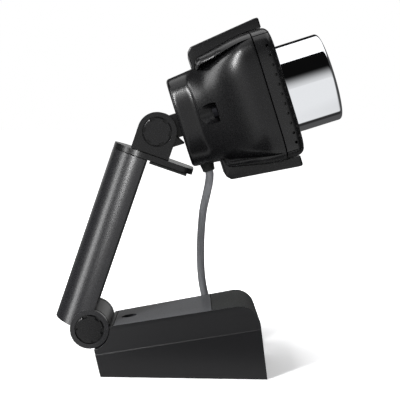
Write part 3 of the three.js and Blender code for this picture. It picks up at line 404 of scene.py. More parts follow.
def turned(profile, segments, height=0.0, closed=True):
    """A profile of (radius, x) points turned round the X axis at a height."""
    shape = bmesh.new()
    rings = []
    for radius, x in profile:
        if radius < 1e-6:
            rings.append([shape.verts.new((x, 0, height))] * segments)
            continue
        rings.append([])
        for i in range(segments):
            angle = TURN * i / segments
            across, up = radius * math.cos(angle), radius * math.sin(angle) + height
            rings[-1].append(shape.verts.new((x, across, up)))
    for one, two in zip(rings, rings[1:] + (rings[:1] if closed else [])):
        bridge(shape, one, two)
    return settle(shape)


def loft(sections):
    """Closed rings of points joined in order, with a flat face at each end."""
    shape = bmesh.new()
    return settle(capped(shape, [[shape.verts.new(p) for p in section] for section in sections]))


def combine(shape, tool, how="DIFFERENCE"):
    """Cuts, joins or intersects a mesh with another, and returns the result."""
    scratch = [link("scratch", to_mesh("scratch", part)) for part in (shape, tool)]
    cut = scratch[0].modifiers.new("cut", "BOOLEAN")
    cut.operation = how
    cut.solver = "EXACT"
    cut.object = scratch[1]
    found = scratch[0].evaluated_get(bpy.context.evaluated_depsgraph_get())
    mesh = bpy.data.meshes.new_from_object(found)
    made = bmesh.new()
    made.from_mesh(mesh)
    bpy.data.meshes.remove(mesh)
    for part in scratch:
        old = part.data
        bpy.data.objects.remove(part)
        bpy.data.meshes.remove(old)
    if not made.faces:
        raise RuntimeError("a cut left nothing")
    return made


def soften(shape, width, angle=32, segments=2):
    """Rounds every edge that turns by more than an angle."""
    limit = math.radians(angle)
    edges = [e for e in shape.edges if len(e.link_faces) == 2 and e.calc_face_angle(0) > limit]
    rounding = {"offset": width, "segments": segments, "profile": 0.5, "affect": "EDGES"}
    bmesh.ops.bevel(shape, geom=edges, clamp_overlap=True, **rounding)
    return shape


def whole(shape):
    """Joins the faces of a mesh that lie in one plane."""
    bmesh.ops.dissolve_limit(shape, angle_limit=math.radians(0.6), verts=shape.verts, edges=shape.edges)
    return shape


def copied(name):
    """A CAD node's own mesh in millimetres of the row, welded and with its flat faces whole."""
    shape = bmesh.new()
    shape.from_mesh(frame["nodes"][name].data)
    shape.transform(Matrix.Scale(1 / MM, 4))
    bmesh.ops.remove_doubles(shape, verts=shape.verts, dist=2e-3)
    return whole(shape)


def piece(name, shape, place, kind, body=None, nodes=(), angle=30):
    """Makes a finished piece from a mesh, shaded smooth up to an angle, on its body."""
    shape.transform(place)
    bmesh.ops.triangulate(shape, faces=[f for f in shape.faces if len(f.verts) > 4])
    mesh = to_mesh(name, shape)
    for polygon in mesh.polygons:
        polygon.use_smooth = True
    mesh.set_sharp_from_angle(angle=math.radians(angle))
    mesh.materials.append(finish_for(kind))
    obj = link(name, mesh)
    if nodes:
        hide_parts(*nodes)
    if body:
        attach(obj, body)
    return obj


def even(obj):
    """Weights a piece's normals by face area, so that long faces stay flat up to their rounded edges."""
    weighted = obj.modifiers.new("even", "WEIGHTED_NORMAL")
    weighted.keep_sharp = True
    found = obj.evaluated_get(bpy.context.evaluated_depsgraph_get())
    mesh = bpy.data.meshes.new_from_object(found)
    old, name = obj.data, obj.data.name
    obj.modifiers.clear()
    obj.data = mesh
    bpy.data.meshes.remove(old)
    mesh.name = name
    return obj


def refined(name, body, node_name, kind, width=0.3):
    """A CAD node's shape with rounded edges."""
    return even(piece(name, soften(copied(node_name), width), ROW, kind, body, [node_name]))


def dress(kind, *names):
    """Gives carried-over CAD nodes a finish."""
    for name in names:
        mesh = frame["nodes"][name].data
        mesh.materials.clear()
        mesh.materials.append(finish_for(kind))


def pattern(name, inputs, build, kind="housing"):
    """Runs a node tree that repeats a shape and returns the result as a plain mesh."""
    tree = bpy.data.node_groups.new(name, "GeometryNodeTree")
    tree.interface.new_socket("Geometry", in_out="OUTPUT", socket_type="NodeSocketGeometry")
    sockets = {}
    for label, value in inputs.items():
        kind_of = "NodeSocketInt" if isinstance(value, int) else "NodeSocketFloat"
        sockets[label] = tree.interface.new_socket(label, in_out="INPUT", socket_type=kind_of).identifier
    entry = node(tree, "NodeGroupInput")
    real = node(tree, "GeometryNodeRealizeInstances", links={0: build(tree, entry.outputs)})
    settings = {"Material": finish_for(kind)}
    coat = node(tree, "GeometryNodeSetMaterial", settings, {"Geometry": real.outputs[0]})
    node(tree, "NodeGroupOutput", links={0: coat.outputs[0]})
    holder = link(name, bpy.data.meshes.new(name))
    modifier = holder.modifiers.new(name, "NODES")
    modifier.node_group = tree
    for label, value in inputs.items():
        modifier[sockets[label]] = value
    found = holder.evaluated_get(bpy.context.evaluated_depsgraph_get())
    mesh = bpy.data.meshes.new_from_object(found)
    shape = bmesh.new()
    shape.from_mesh(mesh)
    bpy.data.meshes.remove(mesh)
    bpy.data.objects.remove(holder)
    if not shape.faces:
        raise RuntimeError(f"{name} made nothing")
    return shape


# ---------------------------------------------------------------- camera and cord
CAMERA_AT = (-0.0033, -0.4368, 0.1052)  # metres
CAMERA_DOWN, CAMERA_RIGHT = 4.45, 0.55  # degrees
CAMERA_LENS, CAMERA_SENSOR = 93.6, 36


def make_camera():
    """A long lens level with the tilt hinge, square to the side of the stand."""
    data = bpy.data.cameras.new("camera")
    data.sensor_width = CAMERA_SENSOR
    data.lens = CAMERA_LENS
    data.clip_end = 20
    camera = link("camera", data)
    camera.location = CAMERA_AT
    camera.rotation_euler = (math.radians(90 - CAMERA_DOWN), 0, math.radians(-CAMERA_RIGHT))
    bpy.context.scene.camera = camera


# The lead from the gland to the coil, and the tail from the coil to the plug, from the lower hinge.
LEAD_POINTS = [
    (49.2, 0, 84), (49.55, 0, 82.3), (49.5, 0.3, 80.3), (49.2, 1.2, 77.9), (48.7, 3.1, 75.3), (48.2, 6, 72.6),
    (47.7, 9.7, 69.9), (47.2, 13.8, 67), (46.8, 17.9, 63.6), (46.5, 21.5, 59.6), (46.2, 24.2, 55),
    (46, 25.8, 49.6), (46, 26.6, 43.6), (46.2, 26.9, 37.4), (46.9, 26.9, 31.2), (48.4, 26.9, 24.8),
    (51.2, 26.9, 18.4), (55.2, 26.9, 12.6), (60, 27.6, 8), (64.9, 29.9, 4.6), (69.2, 33.8, 2.6),
    (72, 38.9, 1.9), (73.2, 45, 1.9), (73.4, 50, 1.9),
]  # fmt: skip
TAIL_POINTS = [
    (51.3, 85.6, 1.9), (48.5, 86.4, 1.9), (43, 87.5, 2.2), (37.5, 88, 3), (34, 88, 3.5), (31.0, 88, 3.7),
]  # fmt: skip
COIL_CENTRE = (44, 57)
CORD_REST = 1.9  # height of the cord's middle where it lies on the desk
COIL_START, COIL_END = -2 / 29.4 / TURN, 0.195  # where the coil begins, and what it adds to its whole turns
# The turns fill these (ring, layer) places in order, ring 0 outermost and layer 0 on the desk.
COIL_ORDER = [
    (0, 0), (1, 0), (2, 0), (3, 0), (3, 1), (3, 2),
    (2, 2), (2, 1), (1, 1), (1, 2), (0, 2), (0, 1),
]  # fmt: skip
WINDOW = 0.105  # share of a turn in which the cord shifts to its next place


def ease(value):
    """Smooth step from 0 to 1."""
    value = min(max(value, 0), 1)
    return value * value * (3 - 2 * value)


def coil_points(sizes):
    """The coil's turns: each keeps its ring and layer, and shifts to the next in a short stretch."""
    spacing, middle = sizes.spacing, sizes.coil_radius
    places = [(middle + (1.5 - ring) * spacing, CORD_REST + layer * spacing) for ring, layer in COIL_ORDER]
    shifts = []
    group = 0
    for k in range(len(places) - 1):
        step = tuple(b - a for a, b in zip(COIL_ORDER[k], COIL_ORDER[k + 1]))
        if k and step != before:
            group += 1
        before = step
        shifts.append(k + 1 - 0.12 - group * WINDOW)
    turns = len(places) - 1
    end = turns + COIL_END
    points = []
    count = int(end * 44)
    outside = middle + 1.5 * spacing + 4
    for i in range(count + 1):
        t = COIL_START + (end - COIL_START) * i / count
        radius, height = places[0]
        for k, start in enumerate(shifts):
            share = ease((t - start) / WINDOW)
            radius += (places[k + 1][0] - places[k][0]) * share
            height += (places[k + 1][1] - places[k][1]) * share
        radius += (outside - places[0][0]) * (1 - ease((t - COIL_START) / 0.11))
        radius += (outside - places[-1][0]) * ease((t - turns) / 0.1)
        height += (CORD_REST - places[-1][1]) * ease((t - turns - 0.06) / 0.13)
        across, along = radius * math.cos(TURN * t), radius * math.sin(TURN * t)
        points.append((COIL_CENTRE[0] + across, COIL_CENTRE[1] + along, height))
    return points


def smooth_path(points, step):
    """A centripetal spline through points, sampled at an even step."""
    pts = [Vector(p) for p in points]
    pts = [2 * pts[0] - pts[1]] + pts + [2 * pts[-1] - pts[-2]]
    made = []
    for a, b, c, d in zip(pts, pts[1:], pts[2:], pts[3:]):
        count = max(1, round((c - b).length / step))
        t1 = (b - a).length ** 0.5
        t2 = t1 + (c - b).length ** 0.5
        t3 = t2 + (d - c).length ** 0.5
        for i in range(count):
            t = t1 + (t2 - t1) * i / count
            a1 = a * ((t1 - t) / t1) + b * (t / t1)
            a2 = b * ((t2 - t) / (t2 - t1)) + c * ((t - t1) / (t2 - t1))
            a3 = c * ((t3 - t) / (t3 - t2)) + d * ((t - t2) / (t3 - t2))
            b1 = a1 * ((t2 - t) / t2) + a2 * (t / t2)
            b2 = a2 * ((t3 - t) / (t3 - t1)) + a3 * ((t - t1) / (t3 - t1))
            made.append(b1 * ((t2 - t) / (t2 - t1)) + b2 * ((t - t1) / (t2 - t1)))
    made.append(pts[-2])
    return made


def tube(path, radius, sides):
    """A round tube that follows a path, with closed ends."""
    shape = bmesh.new()
    rings = []
    up = Vector((0, 1, 0))
    for i, point in enumerate(path):
        ahead = path[min(i + 1, len(path) - 1)] - path[max(i - 1, 0)]
        ahead.normalize()
        across = up - ahead * up.dot(ahead)
        across.normalize()
        up = across
        over = ahead.cross(across)
        rings.append([])
        for k in range(sides):
            angle = TURN * k / sides
            offset = across * math.cos(angle) + over * math.sin(angle)
            rings[-1].append(shape.verts.new(point + offset * radius))
    capped(shape, rings)
    bmesh.ops.recalc_face_normals(shape, faces=shape.faces)
    return shape


def make_tie(sizes):
    """A flat strap looped round all the turns on the coil's west side."""
    reach = 2.12 * sizes.spacing
    middle = sizes.coil_radius
    low, high = 0.02, CORD_REST + 2.5 * sizes.spacing + 0.35
    half_strap = 2.6
    loop = [(middle - reach, low), (middle + reach, low), (middle + reach, high), (middle - reach, high)]
    outer = fillet(loop, 2.2)
    inner = fillet([(a + (0.3 if a < middle else -0.3), b + (0.12 if b < 1 else -0.3)) for a, b in loop], 2.0)
    shape = bmesh.new()
    rings = []
    edges = [(outer, -half_strap), (outer, half_strap), (inner, half_strap), (inner, -half_strap)]
    for outline, depth in edges:
        rings.append([shape.verts.new((a, depth, b)) for a, b in outline])
    for one, two in zip(rings, rings[1:] + rings[:1]):
        bridge(shape, one, two)
    settle(shape)
    shape.transform(Matrix.Translation((*COIL_CENTRE, 0)) @ Matrix.Rotation(math.radians(200), 4, "Z"))
    return piece("cord_tie", shape, BASE, "tie", "arm")


def make_plug():
    """The plug's overmoulded grip, which tapers in ribs towards the cord."""
    low, high = (Vector(corner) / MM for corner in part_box("plug_body"))
    outline = fillet([(low.y, low.z), (high.y, low.z), (high.y, high.z), (low.y, high.z)], 2.0)
    middle, level = (low.y + high.y) / 2, (low.z + high.z) / 2
    stations = [(0, 0.9), (0.5, 0.97), (1.2, 1), (15, 1), (16, 0.98)]
    for rib in range(4):
        start, share = 16.4 + rib * 1.8, 0.94 - rib * 0.07
        stations += [(start, share), (start + 0.9, share), (start + 1.2, 0.86 - rib * 0.07)]
    stations += [(high.x - low.x, 0.5)]
    sections = []
    for x, share in stations:
        ring = [(middle + (a - middle) * share, level + (b - level) * share) for a, b in outline]
        sections.append([(low.x + x, a, b) for a, b in ring])
    return piece("plug_overmould", loft(sections), ROW, "plug", "arm", ["plug_body"], 40)


GLAND_AT = 15.4  # the gland's axis from the tilt hinge
GLAND = [
    (2.2, 3.4), (3.7, 3.4), (3.7, 2.2), (2.9, 2.2), (2.9, -1.2), (2.75, -1.6), (2.75, -2.2),
    (2.6, -2.4), (2.6, -3.4), (2.3, -3.9), (1.9, -3.9), (1.9, 3.0),
]  # fmt: skip


def make_gland(head):
    """A tapered relief that grips the cord under the boss."""
    shape = turned(GLAND, 32)
    top = head.lens_axis - head.boss_half_height
    shape.transform(Matrix.Translation((GLAND_AT, 0, top)) @ Matrix.Rotation(-math.pi / 2, 4, "Y"))
    return piece("cord_relief", shape, HEAD, "rubber", "head", ["cord_gland"], 35)


def make_cord(sizes, head):
    """The cord from the gland to its plug, the tie round its coil, its plug and its gland."""
    path = smooth_path(LEAD_POINTS + coil_points(sizes) + TAIL_POINTS, 2.2)
    cord = piece("usb_cord", tube(path, sizes.diameter / 2, sizes.sides), BASE, "jacket")
    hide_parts("cord_lead", "cord_coil", "cord_tail")
    tie = make_tie(sizes)
    body = make_plug()
    shell = refined("plug_metal_shell", "arm", "plug_shell", "nickel", 0.25)
    gland = make_gland(head)
    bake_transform(cord)


# ---------------------------------------------------------------- stand
def make_base():
    """The wedge foot: shell with its creased sides, top plate, rubber, cover, feet and screws."""
    shell = copied("base_shell")
    # the creased sides: above a line parallel to the top the wall leans in
    slope = math.radians(9.6)
    splay = math.atan2(5, 68)
    turn = Matrix.Rotation(splay, 4, "Z") @ Matrix.Rotation(-slope, 4, "Y")
    start = Matrix.Translation((FOLD_AT.x / MM + 4.6, 18, 9.2))
    band = [(-0.2, 0.3), (0.15, -0.1), (5, -0.1), (5, 25), (-0.95, 25), (-0.95, 9.5)]
    for hand in (-1, 1):
        cutter = prism(band, -5, 90, "X")
        cutter.transform(start @ turn)
        shell = combine(shell, mirrored(cutter, "Y") if hand < 0 else cutter)
    shell = soften(whole(settle(shell, 1e-3)), 0.28)
    even(piece("base_moulded_shell", shell, ROW, "shell", "base", ["base_shell"]))
    refined("base_smooth_plate", "base", "base_top_plate", "plate", 0.25)
    refined("base_rubber_nose", "base", "base_grip_pad", "rubber", 0.35)
    refined("base_underside", "base", "base_bottom_cover", "housing", 0.3)
    for end in ("front", "rear"):
        refined(f"base_foot_strip_{end}", "base", f"base_foot_{end}", "rubber", 0.2)
        dress("steel", f"base_screw_{end}")
    refined("tripod_thread_insert", "base", "tripod_insert", "dark_steel", 0.2)
    dress("steel", "base_ballast")


def make_cap(name, node_name, at):
    """A hinge cap: a rounded disc with six curved key slots round its rim."""
    low, high = (Vector(corner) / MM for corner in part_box(node_name))
    radius, depth = (high.x - low.x) / 2, high.y - low.y
    profile = [(0, 0), (radius - 0.3, 0), (radius - 0.1, 0.1), (radius, 0.3), (radius, depth), (0, depth)]
    disc = turned(profile, 72, closed=False)
    slots = bmesh.new()
    for slot in range(6):
        middle = math.radians(9 + 60 * slot)
        arc = [(radius + 1, middle + a) for a in spread(-0.2, 0.2, 0.05)]
        arc += [(radius - 1.0, middle + a) for a in spread(0.2, -0.2, 0.05)]
        flat = [(r * math.cos(a), r * math.sin(a)) for r, a in arc]
        capped(slots, [[slots.verts.new((face, y, z)) for y, z in flat] for face in (-1, depth + 1)])
    disc = combine(disc, settle(slots))
    outer = low.y if low.y < 0 else high.y
    turn = math.pi / 2 if outer < 0 else -math.pi / 2
    place = Matrix.Translation((at.x, outer * MM, at.z)) @ Matrix.Rotation(turn, 4, "Z") @ Matrix.Scale(MM, 4)
    even(piece(name, disc, place, "housing", "arm", [node_name], 20))


def make_arm():
    """The leaning arm, its lip, the tilt bracket and both hinges."""
    refined("arm_channel", "arm", "arm_shell", "arm", 0.35)
    refined("arm_cover", "arm", "arm_inner_cover", "housing", 0.2)
    refined("arm_grip", "arm", "arm_grip_pad", "rubber", 0.25)
    refined("lip", "arm", "lip_plate", "housing", 0.45)
    refined("lip_grip", "arm", "lip_pad", "rubber", 0.25)
    refined("tilt_yoke", "arm", "tilt_bracket", "housing", 0.35)
    for hinge, at in (("lower", FOLD_AT), ("tilt", TILT_AT)):
        for side in ("left", "right"):
            make_cap(f"{hinge}_cap_{side}", f"{hinge}_hinge_cap_{side}", at)
            dress("steel", f"{hinge}_hinge_washer_{side}")
        dress("steel", f"{hinge}_hinge_pin")
    dress("steel", "bracket_screw_1", "bracket_screw_2")


# ---------------------------------------------------------------- head
def section_at(sizes, x):
    """Half width, half height and squareness of the body, and half width and squareness of its rims."""
    taper = min((x - sizes.back) * 0.1, 1)
    run = min(max((x - sizes.flare_start) / (sizes.seam - sizes.flare_start), 0), 1)
    flare = ease(run**0.66 * 1.12)
    swell = ease((x - 20) / 5) * 0.4 + ease((x - 20) / (sizes.seam - 20)) * 0.6
    width = sizes.boss_half_width + taper + (sizes.half_width - sizes.boss_half_width - taper) * flare
    height = sizes.boss_half_height + taper + (sizes.half_height - sizes.boss_half_height - taper) * swell
    square = 3.2 + 2.8 * run
    low = 2 * sizes.rim_back - sizes.seam
    share = min(max(ease((x - low) / (sizes.seam - low)) * 2 - 1, 0), 1)
    rim_width = sizes.rim_half_width + (sizes.half_width - sizes.rim_half_width) * share
    rim_square = 14 - 8 * share
    grown = ease((x - sizes.rim_back) / 0.7)
    rim_width = max(width, width + (rim_width - width) * grown)
    rim_square = square + (rim_square - square) * grown
    return width, height, square, rim_width, rim_square


def head_ring(sizes, x, inset=0.0, rims=True):
    """One closed ring of the head's skin at x, with the bands above and below standing proud of the sides."""
    width, height, square, rim_width, rim_square = section_at(sizes, x)
    if not rims:
        rim_width, rim_square = width, square
    width, height, rim_width = width - inset, height - inset, rim_width - inset
    ledge = height - sizes.rim + inset * 0.5

    def across(z, half, n):
        return half * max(0, 1 - (z / height) ** n) ** (1 / n)

    quarter = [(across(ledge * i / 12, width, square), ledge * i / 12) for i in range(13)]
    outer = across(ledge, rim_width, rim_square)
    inner = quarter[-1][0]
    edge = min(0.45, (outer - inner) * 0.45)
    quarter.append((inner + (outer - edge - inner) * 0.5, ledge))
    quarter += [(outer - edge, ledge), (outer - edge * 0.3, ledge + edge * 0.3)]
    top = ledge + edge
    start = across(top, rim_width, rim_square)
    quarter.append((start, top))
    first = math.atan2((top / height) ** (rim_square / 2), max(start / rim_width, 1e-6) ** (rim_square / 2))
    for i in range(1, 15):
        angle = first + (math.pi / 2 - first) * i / 14
        cos, sin = max(math.cos(angle), 0), math.sin(angle)
        quarter.append((rim_width * cos ** (2 / rim_square), height * sin ** (2 / rim_square)))
    ring = list(quarter)
    ring += [(-a, b) for a, b in reversed(quarter[:-1])]
    ring += [(-a, -b) for a, b in quarter[1:]]
    ring += [(a, -b) for a, b in reversed(quarter[1:-1])]
    return [(x, a, b + sizes.lens_axis) for a, b in ring]


def spread(low, high, step):
    """Evenly spaced values from low to high."""
    count = max(1, round(abs(high - low) / step))
    return [low + (high - low) * i / count for i in range(count + 1)]


def body_loft(sizes, inset=0.0, low=None, high=None, rims=True):
    """The head's body as a closed solid, for cutting."""
    low = sizes.back if low is None else low
    high = sizes.seam if high is None else high
    return loft([head_ring(sizes, x, inset, rims) for x in spread(low, high, 1.6)])


SCREW_AT = 24.6  # the housing screws' distance from the middle


def rod(radius, low, high, across, level):
    """A round rod along X."""
    shape = turned([(0, low), (radius, low), (radius, high), (0, high)], 48, closed=False)
    bmesh.ops.translate(shape, vec=(0, across, level), verts=shape.verts)
    return shape


def make_rear_cover(sizes):
    """The flared rear cover, hollow, open at the seam, with two deep screw channels."""
    seam = sizes.seam - 0.15
    back = []
    for step in range(5):
        angle = math.pi / 2 * step / 4
        back.append((sizes.back + 1.3 * (1 - math.cos(angle)), 1.3 * (1 - math.sin(angle))))
    stations = [(x, inset) for x, inset in back[:-1]]
    stations += [(x, 0) for x in spread(sizes.back + 1.3, sizes.rim_back - 0.1, 0.9)]
    stations += [(sizes.rim_back + d, 0) for d in (0.12, 0.25, 0.4, 0.55, 0.7)]
    stations += [(x, 0) for x in spread(sizes.rim_back + 1.2, seam - 0.3, 0.8)]
    stations += [(seam - 0.1, 0.03), (seam, 0.2)]
    rings = [head_ring(sizes, x, inset) for x, inset in stations]
    count = max(2, round((seam - sizes.back - sizes.wall) / 2.4))
    for i in range(count + 1):
        x = seam - (seam - sizes.back - sizes.wall) * i / count
        rings.append(head_ring(sizes, x, sizes.wall + 0.2, rims=False))
    shape = loft(rings)
    for hand in (-1, 1):
        lug = rod(5.6, 17, 27.7, hand * SCREW_AT, sizes.lens_axis)
        shape = combine(shape, combine(lug, body_loft(sizes, 0.05, rims=False), "INTERSECT"), "UNION")
    for hand in (-1, 1):
        shape = combine(shape, rod(4.2, -30, 25.7, hand * SCREW_AT, sizes.lens_axis))
    return piece("rear_housing", shape, HEAD, "housing", "head", ["rear_cover"], 28)


def make_slabs(sizes):
    """The raised slabs above and below, rounded and seated on the body."""
    outline = [(21.2, 14), (52.4, 14), (52.4, 31.1), (50.6, 31.1), (23, 27.9), (21.2, 26.1)]
    for name, node_name, hand in (("upper_slab", "top_slab", 1), ("lower_slab", "bottom_slab", -1)):
        shape = soften(prism(fillet(outline, 1.3, 4), -17, 17), 0.6, 40, 3)
        shape = combine(shape, body_loft(sizes, -0.05, high=sizes.front))
        settle(shape, 1e-3)
        if hand < 0:
            mirrored(shape, "Z")
        bmesh.ops.translate(shape, vec=(0, 0, sizes.lens_axis), verts=shape.verts)
        piece(name, shape, HEAD, "housing", "head", [node_name], 35)


def front_rings(sizes, inset):
    """Rings of the bezel from the seam to its rounded front."""
    stations = [(sizes.seam + 0.15, inset + 0.2), (sizes.seam + 0.3, inset)]
    stations += [(x, inset) for x in spread(sizes.seam + 0.6, sizes.front - 3, 1.6)]
    for step in range(1, 9):
        angle = math.pi / 2 * step / 8
        along, inwards = (3 - inset) * math.sin(angle), (3 - inset) * (1 - math.cos(angle))
        stations.append((sizes.front - 3 + along, inset + inwards))
    return [head_ring(sizes, x, d, rims=False) for x, d in stations]


def grille_window(sizes, clearance):
    """The window in the bezel's side and corner that one grille fills."""
    half = sizes.half_height - sizes.rim + clearance
    low, high = sizes.lens_axis - half, sizes.lens_axis + half
    inner = sizes.grille_inner - clearance
    return prism([(sizes.seam - 3, inner), (90, inner), (90, 60), (sizes.seam - 3, 60)], low, high, "Z")


def make_bezel(sizes, lens):
    """The front bezel, with a window each side for a perforated grille, and both grilles."""
    shape = loft(front_rings(sizes, 0))
    hollow = loft([head_ring(sizes, x, 2.7, rims=False) for x in (sizes.seam - 2, sizes.front - 2.7)])
    shape = combine(shape, hollow)
    opening = lens.radius - 0.7
    bore = turned([(0, 0), (opening, 0), (opening, 90), (0, 90)], 96, sizes.lens_axis, False)
    shape = combine(shape, bore)
    for hand in (-1, 1):
        pocket = combine(grille_window(sizes, 0.3), loft(front_rings(sizes, 1.5)))
        shape = combine(shape, mirrored(pocket, "Y") if hand < 0 else pocket)
    piece("front_frame", shape, HEAD, "bezel", "head", ["front_bezel"], 30)

    def perforations(tree, given):
        """Two staggered rows of pegs that punch one grille's side, and a field on its front."""
        settings = {"Vertices": 12, "Depth": 8.0}
        peg = node(tree, "GeometryNodeMeshCylinder", settings, {"Radius": given["Radius"]})
        row = node(tree, "GeometryNodeMeshLine", {"mode": "OFFSET"}, {"Count": given["Rows"]})
        rise = node(tree, "ShaderNodeCombineXYZ", links={"Y": given["Pitch"]})
        tree.links.new(rise.outputs[0], row.inputs["Offset"])
        column = node(tree, "GeometryNodeMeshLine", {"mode": "OFFSET"}, {"Count": given["Columns"]})
        stagger = node(tree, "ShaderNodeMath", {"operation": "MULTIPLY", 1: 0.5}, {0: given["Pitch"]})
        along = node(tree, "ShaderNodeMath", {"operation": "MULTIPLY", 1: 0.56}, {0: given["Pitch"]})
        shift = node(tree, "ShaderNodeCombineXYZ", links={"X": along.outputs[0], "Y": stagger.outputs[0]})
        tree.links.new(shift.outputs[0], column.inputs["Offset"])
        repeated = peg.outputs["Mesh"]
        for points in (row, column):
            given_points = {"Points": points.outputs[0], "Instance": repeated}
            repeated = node(tree, "GeometryNodeInstanceOnPoints", links=given_points).outputs[0]
        return repeated

    count = int((2 * (sizes.half_height - sizes.rim) - 2) // sizes.hole_pitch)
    inputs = {"Radius": sizes.hole / 2, "Pitch": sizes.hole_pitch, "Rows": count}
    foot = -(count - 1) * sizes.hole_pitch / 2 + sizes.lens_axis - sizes.hole_pitch / 4
    upright = Matrix.Rotation(math.pi / 2, 4, "X")
    for side, hand in (("left", -1), ("right", 1)):
        grille = combine(grille_window(sizes, 0), loft(front_rings(sizes, 0.12)), "INTERSECT")
        grille = combine(grille, loft([[(x - 0.01, y, z) for x, y, z in r] for r in front_rings(sizes, 1.2)]))
        flank = pattern("side_perforations", {**inputs, "Columns": 2}, perforations)
        flank.transform(Matrix.Translation((sizes.front - 3.2, sizes.half_width, foot)) @ upright)
        face = pattern("face_perforations", {**inputs, "Columns": 4}, perforations)
        turn = Matrix.Rotation(math.pi / 2, 4, "Z") @ upright
        face.transform(Matrix.Translation((sizes.front, sizes.grille_inner + 2.2, foot)) @ turn)
        grille = combine(grille, flank)
        grille = combine(grille, face)
        if hand < 0:
            mirrored(grille, "Y")
        piece(f"grille_screen_{side}", grille, HEAD, "bezel", "head", [f"grille_{side}"], 30)


def make_neck():
    """The tongue that turns in the yoke, and what holds the housing together."""
    refined("neck", "head", "neck_tongue", "housing", 0.3)
    dress("steel", "neck_retainer")
    dress("black_screw", "housing_screw_left", "housing_screw_right")


# ---------------------------------------------------------------- lens
def make_lens(sizes, head):
    """The chrome focusing ring, its inner sleeve and window, and the lens cell."""
    axis = head.lens_axis
    back = head.front + 0.4
    bore = sizes.radius - sizes.wall
    radius, front = sizes.radius, sizes.front
    profile = [(bore, back - 2.8), (radius - 1, back - 2.8), (radius - 1, back)]
    profile += [(radius - 0.35, back), (radius - 0.1, back + 0.1), (radius, back + 0.35)]
    profile += [(radius, x) for x in spread(back + 1, front - 1.8, 3)]
    for step in range(9):
        angle = math.pi / 2 * step / 8
        profile.append((radius - 1.4 * (1 - math.cos(angle)), front - 1.4 + 1.4 * math.sin(angle)))
    profile += [(bore + 0.35, front), (bore + 0.1, front - 0.1), (bore, front - 0.4)]
    shape = turned(profile, 144, axis)
    piece("focus_chrome", shape, HEAD, "chrome", "focus_ring", ["focus_ring"], 24)

    # the sleeve: a stepped black cone that keeps stray light off the window
    inner = sizes.window_radius
    wall = bore - 0.3
    window_front = sizes.window + 1.2
    profile = [(inner + 0.3, sizes.window), (wall - 1.5, sizes.window), (wall - 1.5, back - 2.8)]
    profile += [(wall, back - 2.8), (wall, front - 1), (wall - 1.2, front - 1)]
    steps = 5
    for step in range(steps):
        share = (step + 1) / steps
        r = (wall - 1.2) * (1 - share) + (inner - 1.2) * share
        x = (front - 1.6) * (1 - share) + (window_front + 1.1) * share
        profile += [(r + 0.35, x + 0.5), (r + 0.35, x), (r, x)]
    profile += [(inner - 1.2, window_front + 0.3), (inner + 0.3, window_front + 0.3)]
    shape = turned(profile, 96, axis)
    piece("light_baffle", shape, HEAD, "housing", "focus_ring", ["focus_sleeve"])
    profile = [(0, sizes.window), (inner - 0.2, sizes.window), (inner, sizes.window + 0.2)]
    profile += [(inner, window_front - 0.2), (inner - 0.2, window_front), (0, window_front)]
    shape = turned(profile, 72, axis, False)
    piece("front_glass", shape, HEAD, "glass", "focus_ring", ["front_window"])

    # the lens cell: barrel, domed front element and flat rear element
    barrel, glass, seat, start, end = 7.0, 5.6, 59.6, 44.0, 63.0
    profile = [(glass - 0.8, start), (barrel - 0.3, start), (barrel, start + 0.3)]
    for groove in range(6):
        x = start + 2 + groove * 1.1
        profile += [(barrel, x), (barrel - 0.3, x + 0.3), (barrel - 0.3, x + 0.5), (barrel, x + 0.8)]
    profile += [(barrel, end - 0.3), (barrel - 0.3, end), (glass + 0.5, end), (glass + 0.3, end - 0.2)]
    profile += [(glass + 0.3, seat), (glass - 0.8, seat)]
    shape = turned(profile, 72, axis)
    piece("lens_cell_barrel", shape, HEAD, "housing", "lens_cell", ["lens_barrel"])
    profile = [(0, seat + 0.3), (glass, seat + 0.3), (glass, seat + 2.1)]
    for step in range(1, 13):
        angle = math.pi / 2 * step / 12
        profile.append((glass * math.cos(angle) if step < 12 else 0, seat + 2.1 + 1.2 * math.sin(angle)))
    shape = turned(profile, 64, axis, False)
    piece("front_element", shape, HEAD, "lens", "lens_cell", ["lens_front_element"])
    dress("lens", "lens_rear_element")


def make_inside():
    """Finishes for the board, sensor and microphones that the housing hides."""
    dress("board", "main_board")
    dress("sensor", "image_sensor")
    dress("filter", "infrared_filter")
    dress("housing", "lens_mount")
    dress("steel", "board_screw_1", "board_screw_2")
    dress("microphone", "microphone_left", "microphone_right")


# ---------------------------------------------------------------- studio
MIDDLE = (0, 0, 0.08)  # the middle of the webcam
# Soft white panels: centre, the point each faces, width, height and watts, in metres.
PANELS = {
    "overhead": ((0, 0.36, 1.05), (0, 0.36, 0), 1.5, 1.43, 10),
    "left_strip": ((-0.8, -0.15, 0.32), MIDDLE, 0.18, 0.7, 4.2),
    "front_left_strip": ((-0.56, -0.69, 0.52), MIDDLE, 0.1, 0.6, 14),
}
# The card paints a dark reflection: it lies before the foot and shows only in reflections; its left, right,
# near and far edges and its height, in metres.
CARD = (-0.046, 0.035, -0.4, -0.05, 0.001)
FLOOR_RADIUS = 9
# Painted shade: the floor glows less within these distances of the webcam, so it looks darker round the
# webcam.
GLOW_NEAR, GLOW_FAR = 0.07, 0.22  # where the floor's glow begins and ends its rise, in metres
GLOW_LOW, GLOW_RISE = 0.3, 0.8


def panel(name, centre, target, width, height, watts):
    """A soft rectangular light that faces a point."""
    data = bpy.data.lights.new(name, "AREA")
    data.shape = "RECTANGLE"
    data.size, data.size_y = width, height
    data.energy = watts
    light = link(name, data)
    light.location = centre
    light.rotation_euler = (Vector(target) - Vector(centre)).to_track_quat("-Z", "Y").to_euler()


